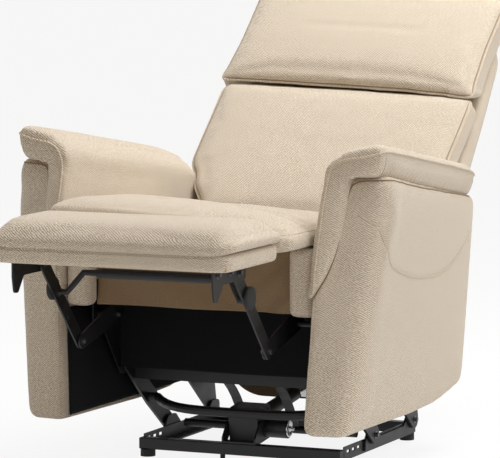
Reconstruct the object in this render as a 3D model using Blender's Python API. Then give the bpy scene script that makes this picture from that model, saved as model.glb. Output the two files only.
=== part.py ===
"""Power recliner on a parallel-link lift base, as separate named pieces.

Metres, +Z up, the front of the chair faces -Y. The model stands as photographed: raised a little,
back reclined, footrest out. Y = 0 is the front face of the base until the last step, which moves the
whole chair so that the middle of its footprint is at the origin.
"""
import math

import bmesh
import bpy
from mathutils import Matrix, Vector

# Clearances
GAP = 0.0003            # between pieces that touch
RUN = 0.0005            # radial, pin to hole
SIDE = 0.002            # sideways, between plates that turn against each other
LAP = 0.003             # overlap of solids that are joined into one piece

# Widths, measured from the chair's middle plane outward
SEAT_SPACE = 0.547      # clear width between the arms at their lower edge
SEAT_RAIL_T = 0.0155
SIDE_PLATE_T = 0.004
LIFT_LINK_T = 0.006
PIVOT_PLATE_T = 0.005
STILE_W = 0.0455
FOOT_LINK_INSET = 0.005  # footrest plates stay this far inside the stiles
FOOT_LINK_T = 0.004
HINGE_LUG_T = 0.005

# Base
BASE_LENGTH = 0.457
BASE_TUBE = 0.025
FOOT_HEIGHT = 0.016
FOOT_RADIUS = 0.0165
CENTRE_FOOT_RADIUS = 0.0055
CENTRE_FOOT_X = -0.042
RAIL_HEIGHT = 0.030
RAIL_FLANGE = 0.030
RAIL_T = 0.003
SLOT_LENGTH = 0.018
SLOT_HEIGHT = 0.007
SLOT_PITCH = 0.030
SLOT_COUNT = 3
PIN_RADIUS = 0.008
PIVOT_LOBE = 0.020          # half length of a pivot plate's raised ends
PIVOT_LOBE_RISE = 0.016     # plate above the pivot's centre
PLATE_MARGIN = 0.004        # strip of rail left bare above and below a pivot plate

# Lift linkage: four links of equal length, seen from the side as (y, z)
LIFT_PIVOT_Y = 0.177
LIFT_PIVOT_Z = 0.052
LIFT_LINK_REACH = 0.207     # forward, from lower to upper pivot
LIFT_LINK_RISE = 0.160
LIFT_LINK_SPACING = 0.240   # front pair to rear pair
LINK_END_RADIUS = 0.020
TORQUE_TUBE_RADIUS = 0.0105
TORQUE_TUBE_Y = 0.072
TORQUE_TUBE_Z = 0.121
TORQUE_TUBE_BOW = 0.080
TORQUE_TUBE_DROP = 0.010
CROSS_BAR_AT = 0.86         # share of the lift link where the flat bar crosses
CROSS_BAR_HEIGHT = 0.034
CROSS_BAR_T = 0.004
STRAP_X = 0.060
STRAP_W = 0.022
STRAP_BOW = 0.026           # straps arch over the actuator's motor
PIVOT_SHAFT_RADIUS = 0.009
LEVER_FORWARD = 0.010       # rear link's actuator lever, from its lower pivot
LEVER_RISE = 0.069
LEVER_TUBE_RADIUS = 0.011

# Lift actuator, along its own axis from the front pin
ACTUATOR_PIN_Y = 0.040
ACTUATOR_PIN_Z = 0.077
ACTUATOR_PIN_RADIUS = 0.006
ACTUATOR_PIN_LENGTH = 0.010
BRACKET_T = 0.004
BRACKET_EAR = 0.010         # bracket ear round the pin
BRACKET_INSET = 0.002       # bracket behind the front tube's face
GEARBOX_W = 0.068
GEARBOX_FRONT = 0.012
GEARBOX_DEPTH = 0.072
GEARBOX_HEIGHT = 0.078
GEARBOX_CORNER = 0.014
MOTOR_RADIUS = 0.0215
MOTOR_LENGTH = 0.052
MOTOR_DROP = 0.012
OUTER_TUBE_RADIUS = 0.016
OUTER_TUBE_LENGTH = 0.215
ROD_RADIUS = 0.009
ROD_OVERLAP = 0.140         # length of rod inside the tube
ROD_STROKE_IN = 0.035       # bore left free behind the rod
BORE_CLEAR = 0.010          # cutters run past a mouth by this much
FORK_W = 0.024
FORK_T = 0.006
FORK_SLACK = 0.0085         # free height below the lever tube
FORK_ROOT = 0.004           # free depth behind a fork's cross tube

# Seat
SEAT_RAIL_TOP = 0.500
SEAT_RAIL_HEIGHT = 0.085
SEAT_FRONT_Y = -0.218
SEAT_REAR_Y = 0.243
SEAT_CROSS_RAIL_T = 0.018
SEAT_REAR_RAIL_HEIGHT = 0.140  # deep enough to carry the recline actuator
WEBBING_T = 0.004
SEAT_CUSHION_W = 0.572
SEAT_CUSHION_FRONT_Y = -0.385
SEAT_CUSHION_REAR_Y = 0.235
SEAT_CUSHION_SIDE = 0.040
SEAT_CUSHION_CROWN = 0.034
SEAT_FRONT_CORNER = 0.075   # plan radius of the seat's front corners
SEAT_REAR_CORNER = 0.030
STILE_FRONT_Y = -0.270
STILE_BOTTOM_Z = 0.360
FLAP_T = 0.0025
DUST_COVER_Y = -0.060
DUST_COVER_BOTTOM_Z = 0.205
DUST_COVER_TOP_Z = 0.358
REAR_RAIL_Y = 0.392
REAR_RAIL_T = 0.055
REAR_RAIL_BOTTOM_Z = 0.300
REAR_RAIL_HEIGHT = 0.035
REAR_FLAP_W = 0.466
REAR_FLAP_BOTTOM_Z = 0.100
REAR_FLAP_CORNER = 0.090
SIDE_PLATE_EDGE = 0.024      # plate round its pins
SIDE_PLATE_FRONT_Y = -0.190
SIDE_PLATE_REAR_Y = 0.330
SIDE_PLATE_TOP_Z = 0.455

# Arms
ARM_T = 0.0945              # at the front, along the lower edge
ARM_REAR_T = 0.082
ARM_LEAN = 0.050            # inner face stands out by this much for each metre of height
ARM_TOE = 0.012             # and comes in by this much for each metre rearward
ARM_FLARE_FRONT = 0.130     # outer face at the front, for each metre of height
ARM_FLARE_REAR = 0.045
ARM_SLANT_LOW = 0.012       # front outer edge behind the inner one, at the foot
ARM_SLANT = 0.108           # and further back by this much for each metre of height
ARM_FRONT_Y = -0.304
ARM_REAR_Y = 0.410
ARM_BOTTOM_Z = 0.118
ARM_REAR_RISE = 0.026
ARM_SAG_Y = 0.100           # lowest place of the arm's curved lower edge
ARM_SAG = 0.006
ARM_TURN_Y = 0.260          # where that edge begins to rise
ARM_TOP_FRONT_Y = -0.205
ARM_TOP_FRONT_Z = 0.656
ARM_TOP_REAR_Y = 0.442
ARM_TOP_REAR_Z = 0.561
ARM_SOFTNESS = 0.014
ARM_FRONT_CURVE = ((0.31, 0.05), (0.60, 0.18), (0.83, 0.385))  # share forward, share down
ARM_PAD_T = 0.060           # at the middle; the pad is thinner inside and thicker outside
ARM_PAD_WEDGE = 0.28        # share of that thickness gained or lost at the pad's sides
ARM_PAD_OVERHANG = 0.008
ARM_PAD_CROWN = 0.014
ARM_PAD_LIP = 0.004         # pad past the arm's inner face
ARM_PAD_NOSE = 0.022        # pad past the arm's front
ARM_PAD_SHORT = 0.030       # arm left bare behind the pad
ARM_PAD_CORNER = 0.026

# Back, in its own plane: u up the back from the hinge, v toward the sitter
BACK_HINGE_Y = 0.300
BACK_HINGE_Z = 0.430
BACK_LEAN = 50.0            # degrees from upright, as photographed
BACK_W = 0.648
BACK_MID_W = 0.552          # between the arms
BACK_MID_U = 0.130
BACK_LOWER_W = 0.490        # between the hinge lugs
BACK_SHOULDER_U = 0.225
BACK_FOOT_U = 0.045
BACK_TOP_U = 0.820
BOARD_T = 0.013
BOARD_SHORT = 0.050         # board ends below the back's top
LUG_REACH = 0.060           # hinge lug up the board
BACK_CORNER = 0.035
HEADREST_CORNER = 0.045
SHELL_LOW_T = 0.090
SHELL_TOP_T = 0.030
BACK_CUSHION_TOP_U = 0.495
BACK_CUSHION_SIDE = 0.046
BACK_CUSHION_CROWN = 0.022
HEADREST_SIDE = 0.064
HEADREST_CROWN = 0.030

# Footrest linkage, as (y, z)
FOOT_PIVOT_Y = -0.165
FOOT_PIVOT_Z = 0.335
FOOT_KNEE_Y = -0.335
FOOT_KNEE_Z = 0.297
FOOT_TOP_Y = -0.500
FOOT_TOP_Z = 0.478
FOOT_LINK_RADIUS = 0.016
FOOT_PIN_RADIUS = 0.006
CRANK_Y = 0.0379            # drive tube from the rear link's pivot
CRANK_Z = 0.0356
DRIVE_TUBE_RADIUS = 0.010
CROSS_TUBE_RADIUS = 0.0105
CROSS_TUBE_Y = -0.415
CROSS_TUBE_Z = 0.452
CROSS_TUBE_HALF = 0.140
CROSS_ARM_RADIUS = 0.0065
CROSS_ARM_Y = -0.435
CROSS_ARM_Z = 0.412
CROSS_NECK = 0.020          # length over which the tube narrows
OTTOMAN_W = 0.530
OTTOMAN_REAR_Y = -0.390
OTTOMAN_FRONT_Y = -0.650
OTTOMAN_BOTTOM_Z = 0.495
OTTOMAN_BOARD_T = 0.012
OTTOMAN_SIDE = 0.066
OTTOMAN_CROWN = 0.034
BRACKET_DROP = 0.066
BRACKET_SHORT = 0.022       # bracket ends behind the footboard's front
HOOK_W = 0.016
OTTOMAN_CORNER = 0.035
OTTOMAN_BOARD_INSET = 0.008

# Recline actuator under the seat
RECLINE_Z = 0.379
RECLINE_TUBE_RADIUS = 0.015
RECLINE_TUBE_FRONT_Y = -0.015
RECLINE_BOX_DEPTH = 0.050
RECLINE_BOX_W = 0.060
RECLINE_BOX_HEIGHT = 0.050
RECLINE_MOTOR_RADIUS = 0.019
RECLINE_MOTOR_LENGTH = 0.060
RECLINE_ROD_OVERLAP = 0.110
RECLINE_FORK_SLACK = 0.010

# Switch panel on the inner side of the right arm, which the photograph hides
PANEL_Y = -0.080
PANEL_Z = 0.607
PANEL_LENGTH = 0.090
PANEL_HEIGHT = 0.045
PANEL_T = 0.007
PANEL_CORNER = 0.012
BUTTON_RADIUS = 0.009
BUTTON_SPACING = 0.040
BUTTON_PROUD = 0.003
BUTTON_TRAVEL = 0.0025

# Derived places
ARM_INNER_X = SEAT_SPACE / 2
SEAT_RAIL_OUT = ARM_INNER_X - GAP
SEAT_RAIL_IN = SEAT_RAIL_OUT - SEAT_RAIL_T
SIDE_PLATE_OUT = SEAT_RAIL_IN - GAP
SIDE_PLATE_IN = SIDE_PLATE_OUT - SIDE_PLATE_T
LIFT_LINK_OUT = SIDE_PLATE_IN - SIDE
LIFT_LINK_IN = LIFT_LINK_OUT - LIFT_LINK_T
PIVOT_PLATE_OUT = LIFT_LINK_IN - SIDE
PIVOT_PLATE_IN = PIVOT_PLATE_OUT - PIVOT_PLATE_T
BASE_HALF = PIVOT_PLATE_IN - GAP
STILE_IN = ARM_INNER_X - STILE_W
BRACKET_OUT = STILE_IN - FOOT_LINK_INSET
BRACKET_IN = BRACKET_OUT - FOOT_LINK_T
FRONT_LINK_OUT = BRACKET_IN - SIDE
FRONT_LINK_IN = FRONT_LINK_OUT - FOOT_LINK_T
REAR_LINK_OUT = FRONT_LINK_IN - SIDE
REAR_LINK_IN = REAR_LINK_OUT - FOOT_LINK_T
HINGE_LUG_OUT = SIDE_PLATE_IN - SIDE
HINGE_LUG_IN = HINGE_LUG_OUT - HINGE_LUG_T
TUBE_TOP_Z = FOOT_HEIGHT + GAP + BASE_TUBE
LIFT_LOW = Vector((0, LIFT_PIVOT_Y, LIFT_PIVOT_Z))
LIFT_HIGH = LIFT_LOW + Vector((0, -LIFT_LINK_REACH, LIFT_LINK_RISE))
REAR_LOW = LIFT_LOW + Vector((0, LIFT_LINK_SPACING, 0))
REAR_HIGH = LIFT_HIGH + Vector((0, LIFT_LINK_SPACING, 0))
LEVER = REAR_LOW + Vector((0, -LEVER_FORWARD, LEVER_RISE))
ACTUATOR_PIN = Vector((0, ACTUATOR_PIN_Y, ACTUATOR_PIN_Z))
ACTUATOR_REACH = (LEVER - ACTUATOR_PIN).length
ACTUATOR_PITCH = math.atan2(LEVER.z - ACTUATOR_PIN_Z, LEVER.y - ACTUATOR_PIN_Y)
BACK_HINGE = Vector((0, BACK_HINGE_Y, BACK_HINGE_Z))
FOOT_PIVOT = Vector((0, FOOT_PIVOT_Y, FOOT_PIVOT_Z))
FOOT_KNEE = Vector((0, FOOT_KNEE_Y, FOOT_KNEE_Z))
FOOT_TOP = Vector((0, FOOT_TOP_Y, FOOT_TOP_Z))
DRIVE_TUBE = FOOT_PIVOT + Vector((0, CRANK_Y, CRANK_Z))
SEAT_CUSHION_Z = SEAT_RAIL_TOP + WEBBING_T + 2 * GAP

SIDES = (("left", -1), ("right", 1))


# Scene and materials

def clear_scene():
    for obj in list(bpy.data.objects):
        bpy.data.objects.remove(obj, do_unlink=True)


def make_material(name, colour, roughness, metallic=0.0):
    mat = bpy.data.materials.new(name)
    mat.use_nodes = True
    shader = mat.node_tree.nodes["Principled BSDF"]
    shader.inputs["Base Color"].default_value = (*colour, 1.0)
    shader.inputs["Roughness"].default_value = roughness
    shader.inputs["Metallic"].default_value = metallic
    return mat


def make_materials():
    return {
        "fabric": make_material("woven_fabric", (0.64, 0.53, 0.39), 0.95),
        "lining": make_material("tan_lining", (0.17, 0.12, 0.07), 0.9),
        "cloth": make_material("black_cloth", (0.012, 0.012, 0.013), 0.95),
        "steel": make_material("black_powder_coat", (0.018, 0.018, 0.02), 0.45, 0.4),
        "bright": make_material("bright_steel", (0.62, 0.62, 0.63), 0.3, 1.0),
        "plastic": make_material("black_plastic", (0.02, 0.02, 0.022), 0.5),
        "rubber": make_material("black_rubber", (0.02, 0.02, 0.02), 0.85),
        "wood": make_material("pine_board", (0.55, 0.38, 0.2), 0.7),
    }


def make_empty(name, at, parent=None, turn_x=0.0):
    empty = bpy.data.objects.new(name, None)
    bpy.context.collection.objects.link(empty)
    empty.parent = parent
    empty.location = at
    empty.rotation_euler.x = turn_x
    return empty


def add_object(name, bm, mat, joint, smooth_over=None):
    """Close a bmesh into a named object that hangs on a joint's empty, in chair coordinates."""
    bmesh.ops.recalc_face_normals(bm, faces=bm.faces)
    mesh = bpy.data.meshes.new(name)
    bm.to_mesh(mesh)
    bm.free()
    if smooth_over is not None:
        mesh.shade_smooth()
        mesh.set_sharp_from_angle(angle=math.radians(smooth_over))
    obj = bpy.data.objects.new(name, mesh)
    bpy.context.collection.objects.link(obj)
    if mat is not None:
        mesh.materials.append(mat)
    obj.parent = joint
    if joint is not None and not joint.rotation_euler.x:
        obj.location = -joint.location
    return obj


def hide_tool(obj):
    obj.hide_render = True
    obj.display_type = "WIRE"


def combine(obj, tool, operation):
    hide_tool(tool)
    mod = obj.modifiers.new(operation.lower(), "BOOLEAN")
    mod.operation = operation
    mod.solver = "EXACT"
    mod.object = tool


def soften(obj, width, segments=2, angle=35.0):
    mod = obj.modifiers.new("edges", "BEVEL")
    mod.width = width
    mod.segments = segments
    mod.limit_method = "ANGLE"
    mod.angle_limit = math.radians(angle)


# Outlines and solids

def circle(centre_a, centre_b, radius, count=24):
    turn = 2 * math.pi / count
    return [(centre_a + radius * math.cos(i * turn), centre_b + radius * math.sin(i * turn))
            for i in range(count)]


def hull(points):
    """Convex outline round a set of 2-D points."""
    def half(ordered):
        line = []
        for p in ordered:
            while len(line) > 1:
                (ax, ay), (bx, by) = line[-2], line[-1]
                if (bx - ax) * (p[1] - ay) - (by - ay) * (p[0] - ax) > 1e-12:
                    break
                line.pop()
            line.append(p)
        return line[:-1]
    ordered = sorted(set(points))
    return half(ordered) + half(ordered[::-1])


def link_outline(*ends):
    """Outline of a flat link round pivots given as (point, radius)."""
    return hull([p for at, radius in ends for p in circle(at.y, at.z, radius)])


def rounded(corners, arc=6, span=None):
    """Outline from (a, b, radius) corners; straight runs are divided into about span lengths."""
    points = []
    count = len(corners)
    for i, (a, b, radius) in enumerate(corners):
        here = Vector((a, b))
        back = (Vector(corners[i - 1][:2]) - here).normalized()
        ahead = (Vector(corners[(i + 1) % count][:2]) - here).normalized()
        if radius <= 0:
            points.append(here)
            continue
        half_angle = back.angle(ahead) / 2
        reach = radius / math.tan(half_angle)
        centre = here + (back + ahead).normalized() * (radius / math.sin(half_angle))
        start = here + back * reach - centre
        end = here + ahead * reach - centre
        sweep = start.angle(end)
        for k in range(arc + 1):
            t = k / arc
            points.append(centre + (start * math.sin((1 - t) * sweep) + end * math.sin(t * sweep))
                          / math.sin(sweep))
    if span is None:
        return [tuple(p) for p in points]
    filled = []
    for p, q in zip(points, points[1:] + points[:1]):
        steps = max(1, round((q - p).length / span))
        filled += [tuple(p.lerp(q, k / steps)) for k in range(steps)]
    return filled


def prism(outline, low, high, axis):
    """Solid between two ends along an axis; an end is a number or a function of the outline."""
    order = {"X": lambda a, b, h: (h, a, b), "Y": lambda a, b, h: (a, h, b),
             "Z": lambda a, b, h: (a, b, h)}[axis]
    bm = bmesh.new()
    rings = []
    for end in (low, high):
        height = end if callable(end) else (lambda a, b, value=end: value)
        rings.append([bm.verts.new(order(a, b, height(a, b))) for a, b in outline])
    bm.faces.new(rings[0])
    bm.faces.new(rings[1])
    count = len(outline)
    for i in range(count):
        j = (i + 1) % count
        bm.faces.new((rings[0][i], rings[0][j], rings[1][j], rings[1][i]))
    return bm


def rectangle(a0, a1, b0, b1):
    return [(a0, b0), (a1, b0), (a1, b1), (a0, b1)]


def box(x0, x1, y0, y1, z0, z1):
    return prism(rectangle(x0, x1, y0, y1), z0, z1, "Z")


def rod_x(at, radius, x0, x1, count=24):
    return prism(circle(at.y, at.z, radius, count), x0, x1, "X")


def rod_y(x, z, radius, y0, y1, count=24):
    return prism(circle(x, z, radius, count), y0, y1, "Y")


def sideways(sign, inner, outer):
    return (inner, outer) if sign > 0 else (-outer, -inner)


def plate(name, outline, sign, inner, outer, mat, joint, holes=(), pins=()):
    """Flat plate across X with holes (point, radius) and pins (point, radius, from, to)."""
    obj = add_object(name, prism(outline, *sideways(sign, inner, outer), "X"), mat, joint, 30)
    for at, radius, start, end in pins:
        tool = rod_x(at, radius, *sideways(sign, start, end))
        combine(obj, add_object(name + "_pin", tool, mat, joint, 30), "UNION")
    for at, radius in holes:
        tool = rod_x(at, radius, *sideways(sign, inner - SIDE / 2, outer + SIDE / 2))
        combine(obj, add_object(name + "_hole", tool, None, joint, 30), "DIFFERENCE")
    return obj


def cushion(corners, low, side, crown, draw=0.012, span=0.05):
    """Stuffed form: flat base, drawn-in sides and a crowned top, over an (a, b) outline."""
    outline = rounded(corners, arc=4, span=span)
    mid_a = (min(p[0] for p in outline) + max(p[0] for p in outline)) / 2
    mid_b = (min(p[1] for p in outline) + max(p[1] for p in outline)) / 2
    half_a = max(p[0] for p in outline) - mid_a
    half_b = max(p[1] for p in outline) - mid_b

    def ring(scale, height, pull, dome=0.0):
        verts = []
        for a, b in outline:
            s = (a - mid_a) / half_a
            t = (b - mid_b) / half_b
            in_a = 1 - pull * (1 - t * t) / half_a
            in_b = 1 - pull * (1 - s * s) / half_b
            rise = dome * ((1 - (s * scale) ** 2) * (1 - (t * scale) ** 2)) ** 0.45
            verts.append(bm.verts.new((mid_a + (a - mid_a) * scale * in_a,
                                       mid_b + (b - mid_b) * scale * in_b, height + rise)))
        return verts

    bm = bmesh.new()
    rings = [ring(0.97, low, draw)]
    for share, scale in ((0.18, 0.99), (0.5, 1.0), (0.82, 0.99)):
        rings.append(ring(scale, low + side * share, draw * 0.5))
    for scale in (0.965, 0.90, 0.78, 0.60, 0.40, 0.20):
        rings.append(ring(scale, low + side, draw, crown))
    for lower, upper in zip(rings, rings[1:]):
        for i in range(len(outline)):
            j = (i + 1) % len(outline)
            bm.faces.new((lower[i], lower[j], upper[j], upper[i]))
    bm.faces.new(rings[0])
    top = bm.verts.new((mid_a, mid_b, low + side + crown))
    for i in range(len(outline)):
        bm.faces.new((rings[-1][i], rings[-1][(i + 1) % len(outline)], top))
    return bm


def swept_tube(name, points, radii, mat, joint):
    """Round bar through points, each with its own radius."""
    curve = bpy.data.curves.new(name, "CURVE")
    curve.dimensions = "3D"
    curve.bevel_depth = 1.0
    curve.bevel_resolution = 4
    curve.use_fill_caps = True
    spline = curve.splines.new("POLY")
    spline.points.add(len(points) - 1)
    for target, point, radius in zip(spline.points, points, radii):
        target.co = (*point, 1.0)
        target.radius = radius
    curve.materials.append(mat)
    obj = bpy.data.objects.new(name, curve)
    bpy.context.collection.objects.link(obj)
    obj.parent = joint
    obj.location = -joint.location
    return obj


# Base

def build_base(mats, root):
    steel = mats["steel"]
    low = FOOT_HEIGHT + GAP
    ends = (("front", 0.0), ("rear", BASE_LENGTH - BASE_TUBE))
    for end, y in ends:
        bar = box(-BASE_HALF, BASE_HALF, y, y + BASE_TUBE, low, low + BASE_TUBE)
        soften(add_object(f"base_{end}_tube", bar, steel, root), 0.002)
        for side, sign in SIDES:
            spot = circle(sign * (BASE_HALF - FOOT_RADIUS), y + BASE_TUBE / 2, FOOT_RADIUS)
            foot = prism(spot, 0.0, FOOT_HEIGHT, "Z")
            add_object(f"foot_{end}_{side}", foot, mats["rubber"], root, 30)
    spot = circle(CENTRE_FOOT_X, BASE_TUBE / 2, CENTRE_FOOT_RADIUS, 16)
    add_object("centre_foot", prism(spot, 0.0, FOOT_HEIGHT, "Z"), mats["rubber"], root, 30)
    for side, sign in SIDES:
        build_rail(side, sign, low, steel, root)
        build_pivot_plate(side, sign, low, steel, root)
    build_actuator_bracket(steel, root)


def build_rail(side, sign, low, steel, root):
    out = sign * BASE_HALF
    section = [(out, low), (out, low + RAIL_HEIGHT), (out - sign * RAIL_T, low + RAIL_HEIGHT),
               (out - sign * RAIL_T, low + RAIL_T), (out - sign * RAIL_FLANGE, low + RAIL_T),
               (out - sign * RAIL_FLANGE, low)]
    y0 = BASE_TUBE + GAP
    y1 = BASE_LENGTH - BASE_TUBE - GAP
    rail = add_object(f"base_rail_{side}", prism(section, y0, y1, "Y"), steel, root)
    for i in range(SLOT_COUNT):
        start = y0 + SLOT_PITCH * (i + 0.5)
        mid = low + RAIL_HEIGHT * 0.6
        slot = box(out - 2 * RAIL_T, out + 2 * RAIL_T, start, start + SLOT_LENGTH,
                   mid - SLOT_HEIGHT / 2, mid + SLOT_HEIGHT / 2)
        combine(rail, add_object("slot_cutter", slot, None, root), "DIFFERENCE")


def build_pivot_plate(side, sign, low, steel, root):
    bottom = low + PLATE_MARGIN
    strip = low + RAIL_HEIGHT - PLATE_MARGIN
    top = LIFT_PIVOT_Z + PIVOT_LOBE_RISE
    small = PLATE_MARGIN
    large = PIVOT_LOBE * 0.6
    corners = [(LIFT_LOW.y - 2 * PIVOT_LOBE, bottom, small), (REAR_LOW.y + PIVOT_LOBE, bottom, small),
               (REAR_LOW.y + PIVOT_LOBE, top, large), (REAR_LOW.y - PIVOT_LOBE, top, large),
               (REAR_LOW.y - 2.5 * PIVOT_LOBE, strip, large), (LIFT_LOW.y + 2.5 * PIVOT_LOBE, strip, large),
               (LIFT_LOW.y + PIVOT_LOBE, top, large), (LIFT_LOW.y - PIVOT_LOBE, top, large),
               (LIFT_LOW.y - 2 * PIVOT_LOBE, strip, small)]
    pins = [(at, PIN_RADIUS, PIVOT_PLATE_IN + GAP, LIFT_LINK_OUT) for at in (LIFT_LOW, REAR_LOW)]
    plate(f"pivot_plate_{side}", rounded(corners), sign, PIVOT_PLATE_IN, PIVOT_PLATE_OUT, steel, root,
          pins=pins)


def build_actuator_bracket(steel, root):
    low = TUBE_TOP_Z + GAP
    ear_in = GEARBOX_W / 2 + SIDE
    ear_out = ear_in + BRACKET_T
    front = BRACKET_INSET
    rear = BASE_TUBE - BRACKET_INSET
    corners = [(front, low, 0), (rear, low, 0),
               (ACTUATOR_PIN_Y + BRACKET_EAR, ACTUATOR_PIN_Z - BRACKET_EAR, BRACKET_EAR * 0.6),
               (ACTUATOR_PIN_Y + BRACKET_EAR, ACTUATOR_PIN_Z + BRACKET_EAR, BRACKET_EAR * 0.8),
               (ACTUATOR_PIN_Y - BRACKET_EAR, ACTUATOR_PIN_Z + BRACKET_EAR, BRACKET_EAR * 0.8),
               (front, low + 3 * BRACKET_T, BRACKET_T)]
    bracket = add_object("actuator_bracket", prism(rounded(corners), -ear_out, ear_out, "X"), steel, root)
    pocket = box(-ear_in, ear_in, -BASE_TUBE, ACTUATOR_PIN_Y + 2 * BRACKET_EAR, low + BRACKET_T,
                 ACTUATOR_PIN_Z + 2 * BRACKET_EAR)
    combine(bracket, add_object("bracket_pocket", pocket, None, root), "DIFFERENCE")
    for sign in (-1, 1):
        pin = rod_x(ACTUATOR_PIN, ACTUATOR_PIN_RADIUS,
                    *sideways(sign, ear_in - SIDE - ACTUATOR_PIN_LENGTH, ear_in + BRACKET_T / 2))
        combine(bracket, add_object("bracket_pin", pin, steel, root), "UNION")


# Lift linkage

def build_front_lift(mats, joint):
    steel = mats["steel"]
    torque = Vector((0, TORQUE_TUBE_Y, TORQUE_TUBE_Z))
    shape = link_outline((LIFT_LOW, LINK_END_RADIUS), (torque, TORQUE_TUBE_RADIUS * 1.5),
                         (LIFT_HIGH, LINK_END_RADIUS))
    holes = [(LIFT_LOW, PIN_RADIUS + RUN), (LIFT_HIGH, PIN_RADIUS + RUN)]
    for side, sign in SIDES:
        plate(f"lift_arm_{side}", shape, sign, LIFT_LINK_IN, LIFT_LINK_OUT, steel, joint, holes)
    span = LIFT_LINK_IN - GAP
    points = []
    steps = 24
    for i in range(steps + 1):
        share = 2 * i / steps - 1
        bow = 1 - min(1.0, abs(share) * steps / (steps - 2)) ** 4
        points.append((span * share, TORQUE_TUBE_Y - TORQUE_TUBE_BOW * bow,
                       TORQUE_TUBE_Z - TORQUE_TUBE_DROP * bow))
    swept_tube("lift_torque_tube", points, [TORQUE_TUBE_RADIUS] * len(points), steel, joint)
    build_cross_frame(steel, joint, span)


def build_cross_frame(steel, joint, span):
    """Flat bar between the lift arms, with two straps down to a shaft on the lower pivots."""
    mid = LIFT_LOW.lerp(LIFT_HIGH, CROSS_BAR_AT)
    bar = box(-span, span, mid.y - CROSS_BAR_T / 2, mid.y + CROSS_BAR_T / 2,
              mid.z - CROSS_BAR_HEIGHT / 2, mid.z + CROSS_BAR_HEIGHT / 2)
    frame = add_object("lift_cross_frame", bar, steel, joint, 30)
    inner = BASE_HALF - RAIL_FLANGE - SIDE
    shaft = rod_x(LIFT_LOW, PIVOT_SHAFT_RADIUS, -inner, inner)
    combine(frame, add_object("frame_shaft", shaft, steel, joint), "UNION")
    along = (mid - LIFT_LOW).normalized()
    up = Vector((0, -along.z, along.y))
    up = up if up.z > 0 else -up
    end = mid + Vector((0, 0, CROSS_BAR_HEIGHT * 0.3))
    steps = 8
    upper = []
    lower = []
    for i in range(steps + 1):
        share = i / steps
        at = LIFT_LOW.lerp(end, share) + up * (STRAP_BOW * math.sin(math.pi * share))
        upper.append(at + up * (CROSS_BAR_T / 2))
        lower.append(at - up * (CROSS_BAR_T / 2))
    strap = lower + upper[::-1]
    for sign in (-1, 1):
        body = prism([(p.y, p.z) for p in strap],
                     *sideways(sign, STRAP_X - STRAP_W / 2, STRAP_X + STRAP_W / 2), "X")
        combine(frame, add_object("frame_strap", body, steel, joint), "UNION")


def build_rear_lift(mats, joint):
    steel = mats["steel"]
    shape = link_outline((REAR_LOW, LINK_END_RADIUS), (REAR_HIGH, LINK_END_RADIUS),
                         (LEVER, LEVER_TUBE_RADIUS * 1.4))
    holes = [(REAR_LOW, PIN_RADIUS + RUN), (REAR_HIGH, PIN_RADIUS + RUN)]
    for side, sign in SIDES:
        plate(f"rear_link_{side}", shape, sign, LIFT_LINK_IN, LIFT_LINK_OUT, steel, joint, holes)
    span = LIFT_LINK_IN - GAP
    add_object("rear_link_tube", rod_x(LEVER, LEVER_TUBE_RADIUS, -span, span), steel, joint, 30)


def build_actuator(mats, joint, rod_joint):
    """Pieces along the actuator's own axis: x across, y along, z up, from the front pin."""
    rear = GEARBOX_DEPTH - GEARBOX_FRONT
    half = GEARBOX_HEIGHT / 2
    shape = rounded([(-GEARBOX_FRONT, -half, GEARBOX_CORNER / 2), (rear, -half, GEARBOX_CORNER / 2),
                     (rear, half, GEARBOX_CORNER), (-GEARBOX_FRONT, half, GEARBOX_CORNER)])
    case = prism(shape, -GEARBOX_W / 2, GEARBOX_W / 2, "X")
    gearbox = add_object("lift_gearbox", case, mats["plastic"], joint)
    bore = rod_x(Vector((0, 0, 0)), ACTUATOR_PIN_RADIUS + RUN, -GEARBOX_W, GEARBOX_W)
    combine(gearbox, add_object("gearbox_bore", bore, None, joint), "DIFFERENCE")
    axis = Vector((0, rear - MOTOR_RADIUS - SIDE, -MOTOR_DROP))
    motor = rod_x(axis, MOTOR_RADIUS, GEARBOX_W / 2 + GAP, GEARBOX_W / 2 + MOTOR_LENGTH, 32)
    add_object("lift_motor", motor, mats["plastic"], joint, 30)
    tube_start = rear + GAP
    tube_end = tube_start + OUTER_TUBE_LENGTH
    tube = rod_y(0, 0, OUTER_TUBE_RADIUS, tube_start, tube_end)
    outer = add_object("lift_outer_tube", tube, mats["plastic"], joint, 30)
    bore = rod_y(0, 0, ROD_RADIUS + RUN, tube_end - ROD_OVERLAP - ROD_STROKE_IN, tube_end + BORE_CLEAR)
    combine(outer, add_object("tube_bore", bore, None, joint), "DIFFERENCE")
    rod = rod_y(0, 0, ROD_RADIUS, tube_end - ROD_OVERLAP, ACTUATOR_REACH - LEVER_TUBE_RADIUS - FORK_T)
    body = add_object("lift_rod", rod, mats["bright"], rod_joint, 30)
    combine(body, fork(rod_joint, ACTUATOR_REACH, 1), "UNION")


def fork(joint, reach, way, radius=LEVER_TUBE_RADIUS, up=0.0015, down=FORK_SLACK, axis_z=0.0):
    """Open fork round a cross tube; way is +1 when the rod points to +Y."""
    top = axis_z + radius + up
    low = axis_z - radius - down
    root = reach - way * (radius + FORK_ROOT)
    tip = reach + way * radius
    base = root - way * (FORK_T * 2)
    shape = [(base, low - FORK_T), (tip, low - FORK_T), (tip, low), (root, low), (root, top),
             (tip, top), (tip, top + FORK_T), (base, top + FORK_T)]
    return add_object("rod_fork", prism(shape, -FORK_W / 2, FORK_W / 2, "X"), None, joint)


# Seat and arms

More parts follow.
